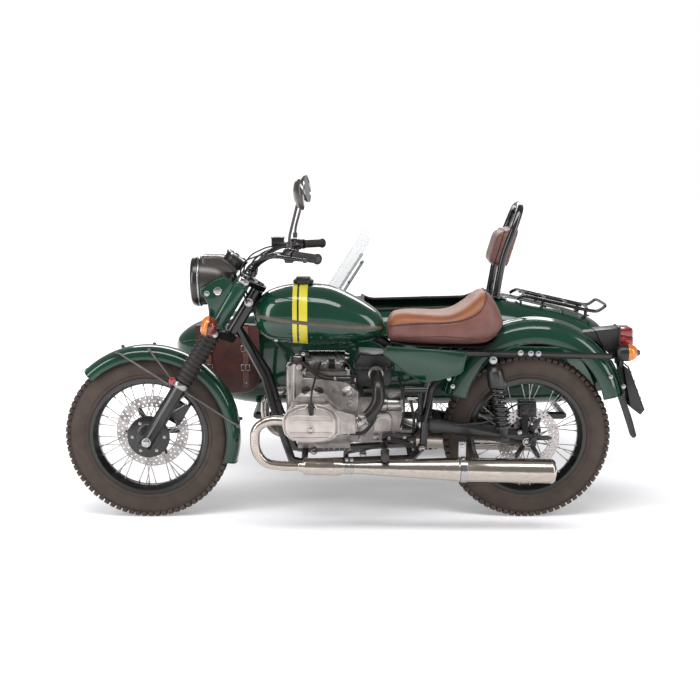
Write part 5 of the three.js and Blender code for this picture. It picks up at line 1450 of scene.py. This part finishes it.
# ------------------------------------------------------------------ rear suspension
class BuildSuspension(bpy.types.Operator):
    """Dampers with wound springs, and the bolts and caliper of the swinging arm"""
    bl_idname = "machine.suspension"
    bl_label = "Rear suspension"

    def execute(self, context):
        sizes = context.scene.machine_sizes
        for label, side in (("left", -1), ("right", 1)):
            foot, top = Vector((627, side * 165, 366)), Vector((573, side * 165, 690))
            way = top - foot
            length, up = way.length, way.normalized()
            can = turned([(0, length - 18), (14, length - 22), (24, length - 34),
                          (34, length - 44), (36, length - 60), (36, length - 104),
                          (34, length - 108), (27, length - 108), (27, length - 60),
                          (0, length - 60)], foot, up, 48)
            eye = rod(top - Vector((0, 13, 0)), top + Vector((0, 13, 0)), 17, round_by=2, sides=40)
            stem = rod(foot + up * 150, foot + up * (length - 50), 7)
            finish(joined([can, eye, stem]), f"damper_can_{label}", f"damper_upper_{label}",
                   "paint_black", [f"damper_upper_{label}"])
            stud = bolt(top + Vector((0, side * 13, 0)), (0, side, 0), 12, 8)
            finish(stud, f"damper_stud_{label}", f"damper_upper_{label}",
                   "chrome")
            eye = rod(foot - Vector((0, 13, 0)), foot + Vector((0, 13, 0)), 18, round_by=2,
                      sides=40)
            body = turned([(0, 14), (16, 16), (20, 40), (31, 44), (32, 48), (32, 56), (20, 58),
                           (20, 140), (9, 140), (9, 70), (0, 70)], foot, up, 40)
            nut = bolt(foot + Vector((0, side * 13, 0)), (0, side, 0), 11, 8)
            finish(joined([eye, body, nut]), f"damper_body_{label}", f"damper_lower_{label}",
                   "paint_black", [f"damper_lower_{label}"])
            low, high = 60.0, length - 110
            across = up.cross(Vector((0, 1, 0))).normalized()
            count = int(sizes.coils * 20)
            route = []
            for step in range(count + 1):
                angle = 2 * math.pi * sizes.coils * step / count
                out = across * math.cos(angle) + Vector((0, 1, 0)) * math.sin(angle)
                route.append(foot + up * (low + (high - low) * step / count) + out * 25.5)
            spring = pipe(route, 4.3, round_sides=3)
            finish(spring, f"damper_spring_{label}", f"damper_lower_{label}",
                   "paint_black", smooth=60)
            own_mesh(spring)
        bright = [bolt((723, -122, 341), (0, -1, 0), 14, 11), bolt((628, -118, 398), (0, -1, 0), 7, 5),
                  bolt((298, -120, 412), (0, -1, 0), 14, 8), bolt((694, -118, 380), (0, -1, 0), 7, 5)]
        finish(joined(bright), "arm_bolts", "swinging_arm", "chrome")
        caliper = [box((726, -92, 470), (74, 30, 62), 8), box((726, -106, 470), (54, 8, 42), 5),
                   rod((708, -106, 462), (708, -114, 462), 11, round_by=2),
                   rod((742, -106, 462), (742, -114, 462), 11, round_by=2),
                   pipe(bent([(726, -104, 500), (680, -116, 500), (560, -122, 420),
                              (420, -122, 412)], 40, 6), 4)]
        finish(joined(caliper), "rear_caliper", "swinging_arm",
               "black_plastic")
        return {"FINISHED"}


# ------------------------------------------------------------------ sidecar
BODY_Y = 702.0
BODY_POWER = 3.2  # how square the body's sections are
SHELL_WALL = 0.003  # metres, as modifiers take it
BODY_HALF = ((-815, 22), (-796, 78), (-740, 140), (-630, 196), (-470, 236), (-220, 252), (60, 257),
             (400, 258), (690, 256), (900, 246), (1060, 220), (1150, 176), (1184, 128))
BODY_LOW = ((-815, 568), (-796, 520), (-740, 456), (-630, 392), (-470, 352), (-220, 346),
            (60, 346), (400, 346), (690, 346), (900, 348), (1060, 362), (1150, 400), (1184, 442))
BODY_TOP = ((-815, 630), (-796, 664), (-740, 706), (-630, 744), (-470, 776), (-220, 812),
            (60, 836), (400, 842), (690, 852), (900, 812), (1060, 770), (1150, 726), (1184, 688))


def body_skin():
    """The sidecar's closed body."""
    front, rear = BODY_HALF[0][0], BODY_HALF[-1][0]

    def shape(u, v):
        share = 0.5 - 0.5 * math.cos(math.pi * v)
        x = front + (rear - front) * share
        low, top = curve_value(BODY_LOW, x), curve_value(BODY_TOP, x)
        across, up = oval(u, curve_value(BODY_HALF, x), (top - low) / 2, BODY_POWER)
        return (x, BODY_Y + across, (low + top) / 2 + up)

    return surface(56, 60, shape)


def prism(outline, low, high):
    """An upright block with a rounded outline, to cut with."""
    loop = list(outline) + [outline[0]]

    def shape(u, v):
        x, y = along_points(loop, u)
        return (x, BODY_Y + y, low + (high - low) * v)

    return surface(len(outline), 1, shape)


def rounded_outline(x0, x1, half, corner):
    """A rectangle with rounded corners, from x0 to x1 and half each way from the middle."""
    outline, steps = [], 6
    for cx, cy, start in ((x1 - corner, half - corner, 0), (x0 + corner, half - corner, 90),
                          (x0 + corner, corner - half, 180), (x1 - corner, corner - half, 270)):
        for step in range(steps + 1):
            angle = math.radians(start + 90 * step / steps)
            outline.append((cx + corner * math.cos(angle), cy + corner * math.sin(angle)))
    return outline


def boolean(piece, cutter, operation):
    modify(piece, "BOOLEAN", object=cutter, operation=operation, solver="EXACT")
    bpy.data.objects.remove(cutter)
    return piece


COCKPIT = rounded_outline(60, 600, 196, 62)
TRUNK = rounded_outline(722, 1090, 168, 12)


def on_deck(outline, lift=0.0):
    """The outline's points on the body's top skin."""
    route = []
    for x, y in outline:
        low, top = curve_value(BODY_LOW, x), curve_value(BODY_TOP, x)
        share = min(0.999, abs(y) / curve_value(BODY_HALF, x))
        rise = (1 - share ** BODY_POWER) ** (1 / BODY_POWER)
        route.append((x, BODY_Y + y, (low + top) / 2 + (top - low) / 2 * rise + lift))
    return route


class BuildSidecarBody(bpy.types.Operator):
    """Body shell with its cockpit, trunk lid, trims, hoop, rack and screen"""
    bl_idname = "machine.sidecar_body"
    bl_label = "Sidecar body"

    def execute(self, context):
        shell = modify(body_skin(), "SOLIDIFY", thickness=SHELL_WALL, offset=-1)
        boolean(shell, prism(COCKPIT, 640, 1000), "DIFFERENCE")
        boolean(shell, prism(rounded_outline(719, 1093, 171, 14), 660, 1000), "DIFFERENCE")
        finish(shell, "body_shell", "chassis", "paint_green",
               ["sidecar_body"], smooth=40)
        lid = modify(body_skin(), "SOLIDIFY", thickness=SHELL_WALL, offset=-1)
        boolean(lid, prism(TRUNK, 660, 1000), "INTERSECT")
        finish(lid, "trunk_panel", "trunk_lid", "paint_green",
               ["trunk_lid"], smooth=40)
        coaming = pipe(on_deck(COCKPIT, 3), 8, closed=True, round_sides=5)
        finish(coaming, "cockpit_trim", "chassis", "black_rubber")
        beads = []
        for s in (-1, 1):
            line = []
            for step in range(61):
                x = -770 + (1150 + 770) * step / 60
                low, top = curve_value(BODY_LOW, x), curve_value(BODY_TOP, x)
                across = oval(0.035, curve_value(BODY_HALF, x), 1, BODY_POWER)[0]
                line.append((x, BODY_Y + s * (across + 1), (low + top) / 2 + (top - low) * 0.29))
            beads.append(pipe(line, 3))
        finish(joined(beads), "body_beads", "chassis", "paint_green")
        hinges = [box((708, BODY_Y + s * 110, 853), (26, 34, 6), 2) for s in (-1, 1)]
        hinges += [bolt((702, BODY_Y + s * 110, 855), (0, 0, 1), 4, 3) for s in (-1, 1)]
        finish(joined(hinges), "lid_hinges", "chassis", "chrome")
        self.hoop()
        self.rack()
        self.screen()
        return {"FINISHED"}

    def hoop(self):
        """The bent roll hoop on its two round feet."""
        half = 125
        leg = [(668, half, 850), (700, half, 1040), (752, half - 4, 1180), (776, half - 30, 1250),
               (780, half - 80, 1264)]
        route = [(x, BODY_Y - y, z) for x, y, z in leg] + [(x, BODY_Y + y, z)
                                                           for x, y, z in reversed(leg)]
        tube_piece = pipe(bent(route, 46, 8), 17, round_sides=8)
        feet = [rod((668, BODY_Y + s * half, 846), (669, BODY_Y + s * half, 858), 29, round_by=3,
                    sides=40) for s in (-1, 1)]
        finish(joined([tube_piece, *feet]), "hoop_tube", "chassis",
               "gloss_black", ["roll_hoop"], smooth=50)

    def rack(self):
        """Two side rails bent up at the back, cross bars and legs."""
        near, far = BODY_Y - 122, BODY_Y + 122
        rail = [(764, 842), (792, 860), (1088, 792), (1140, 784), (1172, 808)]
        pieces = []
        for y in (near, far):
            pieces.append(pipe(bent([(x, y, z) for x, z in rail], 26, 6), 8))
        for x, z in ((792, 859), (890, 837.3), (990, 814.7), (1088, 792)):
            lift = bent([(x, near, z), (x + 12, near + 50, z + 5), (x + 12, far - 50, z + 5),
                         (x, far, z)], 26, 5)
            pieces.append(pipe(lift, 6.5))
        pieces.append(pipe(bent([(1172, near, 808), (1180, near + 30, 812), (1180, far - 30, 812),
                                 (1172, far, 808)], 26, 5), 8))
        pieces.append(pipe([(792, BODY_Y, 864), (1088, BODY_Y, 797)], 6))
        for y in (near + 20, far - 20):
            for x, z in ((890, 837.3), (1088, 792)):
                pieces.append(rod((x, y, z - 38), (x, y, z), 8, round_by=1))
                pieces.append(box((x, y, z - 28), (34, 22, 6), 2))
        finish(joined(pieces), "rack_tubes", "trunk_lid", "gloss_black",
               ["luggage_rack"], smooth=50)

    def screen(self):
        """The curved clear screen, its edge trim and its two struts."""
        foot_z, top_z = 826, 1158

        def point(across, height, back=0.0):
            z = foot_z + (top_z - foot_z) * height
            z -= max(0.0, height - 0.62) * 210 * across ** 4
            crown = (1 - across * across) * 84
            narrow = 1 - (z - 820) / 2600
            return (-56 + (z - 845) * 0.64 - crown + back, BODY_Y + across * 222 * narrow, z)

        def sheet(u, v):
            return point(u * 2 - 1, v)

        pane = surface(36, 20, sheet, wrap=False, caps=False, wall=4)
        finish(pane, "screen_pane", "chassis", "clear_sheet",
               ["windshield"], smooth=60)
        foot = pipe([point(s / 20 - 1, 0.0, 2) for s in range(41)], 6)
        struts = []
        for s in (-0.93, 0.93):
            low, high = Vector(point(s, 0.02, 12)), Vector(point(s, 0.6, 12))
            struts.append(pipe([low, low.lerp(high, 0.5), high], 6.5))
            for share in (0.05, 0.5, 0.95):
                place = low.lerp(high, share)
                struts.append(bolt(place + Vector((-2, math.copysign(4, s), 0)),
                                   (0, math.copysign(1, s), 0), 6, 5))
        finish(joined([foot, *struts]), "screen_struts", "chassis",
               "gloss_black", smooth=50)


def pillow(centre, size, power, crown, turn):
    """A stuffed form: squarish in outline, crowned, with sides that pull in to its seam."""
    cx, cy, cz = centre
    length, width, height = (side / 2 for side in size)
    spin = Matrix.Rotation(turn[2], 3, "Z") @ Matrix.Rotation(turn[1], 3, "Y")

    def shape(u, v):
        tilt = math.pi * (v - 0.5)
        ring = math.cos(tilt)
        flat = math.copysign(abs(math.sin(tilt)) ** (2 / 2.6), math.sin(tilt))
        across, along = oval(u, 1, 1, power)
        spread = abs(ring) ** (2 / power)
        bulge = 1 + crown * (1 - (across * spread) ** 2) * (1 - (along * spread) ** 2)
        local = Vector((across * spread * length, along * spread * width, flat * height * bulge))
        place = spin @ local
        return (cx + place.x, cy + place.y, cz + place.z)

    return surface(32, 16, shape, caps=False, levels=1)


class BuildSoftPieces(bpy.types.Operator):
    """Head pad, sidecar seat and the strapped leather bag"""
    bl_idname = "machine.soft"
    bl_label = "Pad, seat and bag"

    def execute(self, context):
        # place fore and aft, half width, bottom and top of each section
        levels = ((628, 74, 1034, 1126), (633, 94, 1014, 1144), (656, 114, 998, 1156),
                  (684, 126, 988, 1164), (712, 126, 986, 1164), (722, 112, 1000, 1152))

        def block(u, v):
            x, half = along_points([level[:2] for level in levels], v)
            low, high = along_points([level[2:] for level in levels], v)
            across, up = oval(u, half, (high - low) / 2, 7)
            z = (low + high) / 2 + up
            return (x + 0.3 * (z - 990), BODY_Y + across, z)

        pad = surface(40, len(levels) * 3, block, levels=2)
        finish(pad, "pad_hide", "chassis", "leather_brown",
                         ["head_pad"], smooth=80)
        seam = [block(step / 60, 0.4) for step in range(60)]
        laces = [pipe(seam, 3, closed=True)]
        for step in range(0, 60, 3):
            start, end = Vector(block(step / 60, 0.66)), Vector(block(step / 60, 0.92))
            laces.append(rod(start, end, 4.5, sides=10, round_by=1))
        finish(joined(laces), "pad_welt", "chassis", "leather_dark")

        cushion = pillow((405, BODY_Y, 492), (350, 372, 96), 5, 0.10, (0, math.radians(-3), 0))
        back = pillow((560, BODY_Y, 660), (76, 372, 280), 5, 0.08, (0, math.radians(14), 0))
        finish(joined([cushion, back]), "seat_hide", "chassis",
                         "leather_brown", ["sidecar_seat"], smooth=80)
        seams = []
        for y in (-110, -37, 37, 110):
            seams.append(pipe([(250 + 30 * k, BODY_Y + y, 541 + 0.9 * k) for k in range(11)], 2.2))
        finish(joined(seams), "seat_seams", "chassis", "leather_dark")
        self.bag()
        return {"FINISHED"}

    def bag(self):
        """The bag on the body's near side: a sagging pouch, a flap, two straps with buckles."""
        def pouch(u, v):
            lean = math.pi * (v - 0.5)
            ring = math.cos(lean)
            across, up = oval(u, 1, 1, 4.5)
            spread = abs(ring) ** 0.5
            sag = 10 * math.exp(-((up * spread + 1) / 0.5) ** 2) * (1 - (across * spread) ** 2)
            x = -548 + across * spread * 146
            z = 590 + up * spread * 150 - sag
            depth = math.copysign(abs(math.sin(lean)) ** 0.7, math.sin(lean))
            y = 426 + depth * 32 * (1 + 0.2 * math.exp(-((up * spread + 0.4) / 0.5) ** 2))
            return (x, y, z)

        hide = surface(40, 18, pouch, caps=False, levels=1)
        finish(hide, "bag_pouch", "chassis", "leather_dark",
                         ["side_bag"], smooth=80)

        def flap(u, v):
            x = -690 + 284 * u
            drop = 150 * v + 14 * math.sin(math.pi * u) * v
            out = 10 * (1 - math.exp(-v * 6))
            return (x, 396 - 6 * math.sin(math.pi * u) - out * 0.2, 742 - drop)

        cover = surface(24, 12, flap, wrap=False, caps=False, wall=4)
        top = box((-548, 420, 744), (284, 54, 8), 3)
        finish(joined([cover, top]), "bag_flap", "chassis",
               "leather_dark", smooth=60)
        straps, buckles = [], []
        for x in (-632, -466):
            straps.append(box((x, 383, 606), (26, 5, 276), 2))
            straps.append(box((x, 400, 751), (26, 36, 5), 2))
            for z in (560, 646):
                buckles.append(pipe([(x - 18, 377, z - 13), (x + 18, 377, z - 13),
                                     (x + 18, 377, z + 13), (x - 18, 377, z + 13)], 2.6,
                                    closed=True))
                buckles.append(pipe([(x, 376, z - 13), (x, 376, z + 13)], 2))
            buckles.append(rod((x, 381, 490), (x, 376, 490), 5, sides=16, round_by=1))
        finish(joined(straps), "bag_straps", "chassis", "leather_brown")
        finish(joined(buckles), "bag_buckles", "chassis", "chrome")


# ------------------------------------------------------------------ small fittings
class BuildFittings(bpy.types.Operator):
    """Rods, hoses, clips, brackets and bolts round the engine and the frame"""
    bl_idname = "machine.fittings"
    bl_label = "Fittings"

    def execute(self, context):
        y = -112
        black = [pipe([(150, y - 34, 352), (250, y - 40, 338), (292, y - 30, 320)], 4.5),
                 rod((292, y - 46, 322), (292, y + 10, 322), 13, round_by=2),
                 pipe(bent([(236, -96, 560), (250, -120, 500), (262, -126, 430),
                            (258, -118, 380)], 30), 6),
                 pipe(bent([(196, -90, 600), (214, -124, 560), (222, -130, 470),
                            (206, -112, 400)], 30), 4),
                 pipe(bent([(-238, -60, 700), (-232, -74, 640), (-250, -80, 560),
                            (-300, -70, 500)], 30), 5),
                 pipe(bent([(-330, -30, 860), (-322, -70, 800), (-300, -76, 740),
                            (-262, -66, 700)], 30), 6),
                 pipe(bent([(-318, -20, 880), (-300, -62, 820), (-282, -70, 760),
                            (-240, -60, 716)], 30), 4)]
        finish(joined(black), "rods_and_hoses", "chassis", "black_rubber",
               smooth=50)
        plates = [box((190, -108, 356), (120, 6, 30), 3), box((250, -122, 338), (40, 16, 40), 6),
                  rod((-148, -112, 306), (-148, -136, 306), 15, round_by=2),
                  box((-190, -70, 700), (44, 30, 20), 4), box((-300, -74, 770), (30, 16, 44), 4)]
        finish(joined(plates), "brackets", "chassis", "paint_black")
        bright = [bolt((-414, -34, 905), (0, -1, 0), 14, 8), bolt((-414, 34, 905), (0, 1, 0), 14, 8),
                  bolt((292, -160, 322), (0, -1, 0), 10, 7), bolt((160, -112, 356), (0, -1, 0), 6, 5),
                  bolt((224, -112, 356), (0, -1, 0), 6, 5), bolt((250, -131, 338), (0, -1, 0), 8, 5),
                  rod((232, -116, 520), (292, -116, 520), 8, round_by=2),
                  bolt((-190, -86, 700), (0, -1, 0), 6, 4), bolt((-300, -83, 782), (0, -1, 0), 6, 4),
                  bolt((-300, -83, 758), (0, -1, 0), 6, 4)]
        finish(joined(bright), "small_bolts", "chassis", "chrome")
        clips = []
        for x, y0, z in ((-60, -124, 604), (20, -112, 598), (110, -188, 470), (-6, -170, 388)):
            clips.append(turned([(8.2, -4), (10, -4), (10, 4), (8.2, 4), (8.2, -4)], (x, y0, z),
                                (1, 0, 0.2), 24))
        finish(joined(clips), "hose_clips", "chassis", "wheel_metal")
        return {"FINISHED"}


# ------------------------------------------------------------------ pieces that keep their solid
PANEL_OUTLINE = ((150, 741), (469, 715), (448, 632), (366, 608), (296, 597), (234, 629), (134, 712))
PLAIN = (
    # node, body, slot, finish, rounding in mm
    ("main_frame", "chassis", "paint_black", "paint_black", 0),
    ("side_panel_left", "chassis", "paint_green", "paint_green", 2.0),
    ("side_panel_right", "chassis", "paint_green", "paint_green", 2.0),
    ("fork_crown", "steering", "paint_black", "paint_black", 0),
    ("fork_lowers", "fork_lowers", "cast_alloy", "paint_black", 0),
    ("swinging_arm", "swinging_arm", "paint_black", "paint_black", 1.5),
    ("kickstarter", "kickstarter", "paint_black", "paint_black", 0),
    ("gear_pedal", "gear_pedal", "paint_black", "paint_black", 0),
    ("sidecar_chassis", "chassis", "paint_black", "paint_black", 0),
    ("sidecar_arm", "sidecar_arm", "paint_black", "paint_black", 1.0),
    ("sidecar_damper", "chassis", "paint_black", "paint_black", 0),
)


class BuildPlainPieces(bpy.types.Operator):
    """Fine copies of the tubes, brackets and castings that keep the frame's shapes"""
    bl_idname = "machine.plain_pieces"
    bl_label = "Frame, castings and brackets"

    def execute(self, context):
        for side in (-1, 1):
            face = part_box("side_panel_left" if side < 0 else "side_panel_right")
            y = (face[0][1] if side < 0 else face[1][1]) * 1000 - ORIGIN.y * 1000
            edge = bent([(x, y - side * 1.2, z) for x, z in PANEL_OUTLINE], 14, 4)
            rim = pipe(edge, 3.2, closed=True)
            label = "left" if side < 0 else "right"
            finish(rim, f"side_panel_edge_{label}", "chassis",
                   "paint_green", smooth=60)
        for node, body, slot, finish_name, round_by in PLAIN:
            piece = fine_copy(node, round_by)
            finish(piece, node + "_piece", body, finish_name, [node], smooth=40)
            if node == "sidecar_damper":
                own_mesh(piece)
        return {"FINISHED"}


# ------------------------------------------------------------------ stage
class BuildStage(bpy.types.Operator):
    """Camera, pale floor and soft studio light"""
    bl_idname = "machine.stage"
    bl_label = "Stage"

    def execute(self, context):
        scene = context.scene
        camera = bpy.data.cameras.new("camera")
        camera.lens, camera.sensor_width = 61.96, 36.0
        eye = bpy.data.objects.new("camera", camera)
        scene.collection.objects.link(eye)
        eye.location = at(0, -4919.4, 1524.7)
        look = at(0, 0, 702.2) - eye.location
        eye.rotation_euler = look.to_track_quat("-Z", "Y").to_euler()
        camera.clip_end = 200
        scene.camera = eye
        scene.view_settings.view_transform = "Standard"

        deselect()
        bpy.ops.mesh.primitive_plane_add(size=60, location=(0, 0, 0))
        floor = bpy.context.object
        floor.name = "floor"
        material, tree, shader, where = new_material("matt_paper")
        fibres = add_node(tree, "ShaderNodeTexNoise", {"Vector": where, "Scale": per_metre(400)})
        tree.links.new(two_tone(tree, fibres.outputs["Fac"], 0.0, 1.0, "#f1eef6", "#ffffff"),
                       shader.inputs["Base Color"])
        shader.inputs["Roughness"].default_value = 0.9
        shader.inputs["Emission Color"].default_value = linear("#ffffff")
        # painted light: the paper glows, weakly near the machine and more with distance; the weak glow
        # paints a soft shade round the machine, and so only a soft shadow shows under it
        away = add_node(tree, "ShaderNodeVectorMath", {0: where, 1: at(150, 350, 0)},
                        operation="DISTANCE")
        glow = add_node(tree, "ShaderNodeMapRange", {"Value": away.outputs["Value"],
                                                     "From Min": 0.9, "From Max": 3.2,
                                                     "To Min": 0.26, "To Max": 0.95},
                        interpolation_type="SMOOTHSTEP")
        tree.links.new(glow.outputs[0], shader.inputs["Emission Strength"])
        floor.data.materials.append(material)

        world = bpy.data.worlds.new("studio")
        scene.world = world
        world.use_nodes = True
        background = world.node_tree.nodes["Background"]
        background.inputs[0].default_value = (1, 1, 1, 1)
        ray = add_node(world.node_tree, "ShaderNodeLightPath")
        level = add_node(world.node_tree, "ShaderNodeMapRange",
                         {"Value": ray.outputs["Is Camera Ray"], "To Min": 0.30, "To Max": 1.0})
        world.node_tree.links.new(level.outputs[0], background.inputs[1])
        lights = (
            # place in mm, size in m, power in W, aim in mm
            ((-300, -1500, 3600), (4.5, 1.0), 105, (0, 100, 500)),
            ((-3300, -1800, 1900), (0.8, 2.6), 46, (-300, 0, 600)),
            ((3300, -1700, 1700), (0.8, 2.4), 34, (400, 0, 500)),
            ((0, 3600, 2600), (4.0, 1.0), 60, (0, 500, 500)),
        )
        for index, (place, size, power, aim) in enumerate(lights):
            light = bpy.data.lights.new(f"softbox_{index}", "AREA")
            light.shape, light.size, light.size_y, light.energy = "RECTANGLE", *size, power
            lamp = bpy.data.objects.new(light.name, light)
            scene.collection.objects.link(lamp)
            lamp.location = at(*place)
            toward = at(*aim) - lamp.location
            lamp.rotation_euler = toward.to_track_quat("-Z", "Y").to_euler()
        return {"FINISHED"}


STEPS = [BuildStage, BuildWheels, BuildTank, BuildSaddle, BuildEngine, BuildIntake, BuildExhausts,
         BuildFork, BuildHeadlamp, BuildBar, BuildMudguards, BuildSuspension, BuildSidecarBody,
         BuildSoftPieces, BuildFittings, BuildPlainPieces]


class MachinePanel(bpy.types.Panel):
    """The machine's sizes, colours and steps"""
    bl_idname = "VIEW3D_PT_machine"
    bl_label = "Sidecar motorcycle"
    bl_space_type = "VIEW_3D"
    bl_region_type = "UI"
    bl_category = "Motorcycle"

    def draw(self, context):
        column = self.layout.column()
        for group in (context.scene.machine_colours, context.scene.machine_sizes):
            for name in group.bl_rna.properties.keys():
                if name not in ("rna_type", "name"):
                    column.prop(group, name)
        for step in STEPS:
            column.operator(step.bl_idname)


def classes():
    return [MachineColours, MachineSizes, *STEPS, MachinePanel]


def register():
    for kind in classes():
        bpy.utils.register_class(kind)
    bpy.types.Scene.machine_colours = bpy.props.PointerProperty(type=MachineColours)
    bpy.types.Scene.machine_sizes = bpy.props.PointerProperty(type=MachineSizes)


def unregister():
    del bpy.types.Scene.machine_colours
    del bpy.types.Scene.machine_sizes
    for kind in reversed(classes()):
        bpy.utils.unregister_class(kind)


def main():
    register()
    FINISH.update(make_materials(bpy.context.scene.machine_colours))
    for step in STEPS:
        group, name = step.bl_idname.split(".")
        getattr(getattr(bpy.ops, group), name)()


if __name__ == "__main__":
    main()
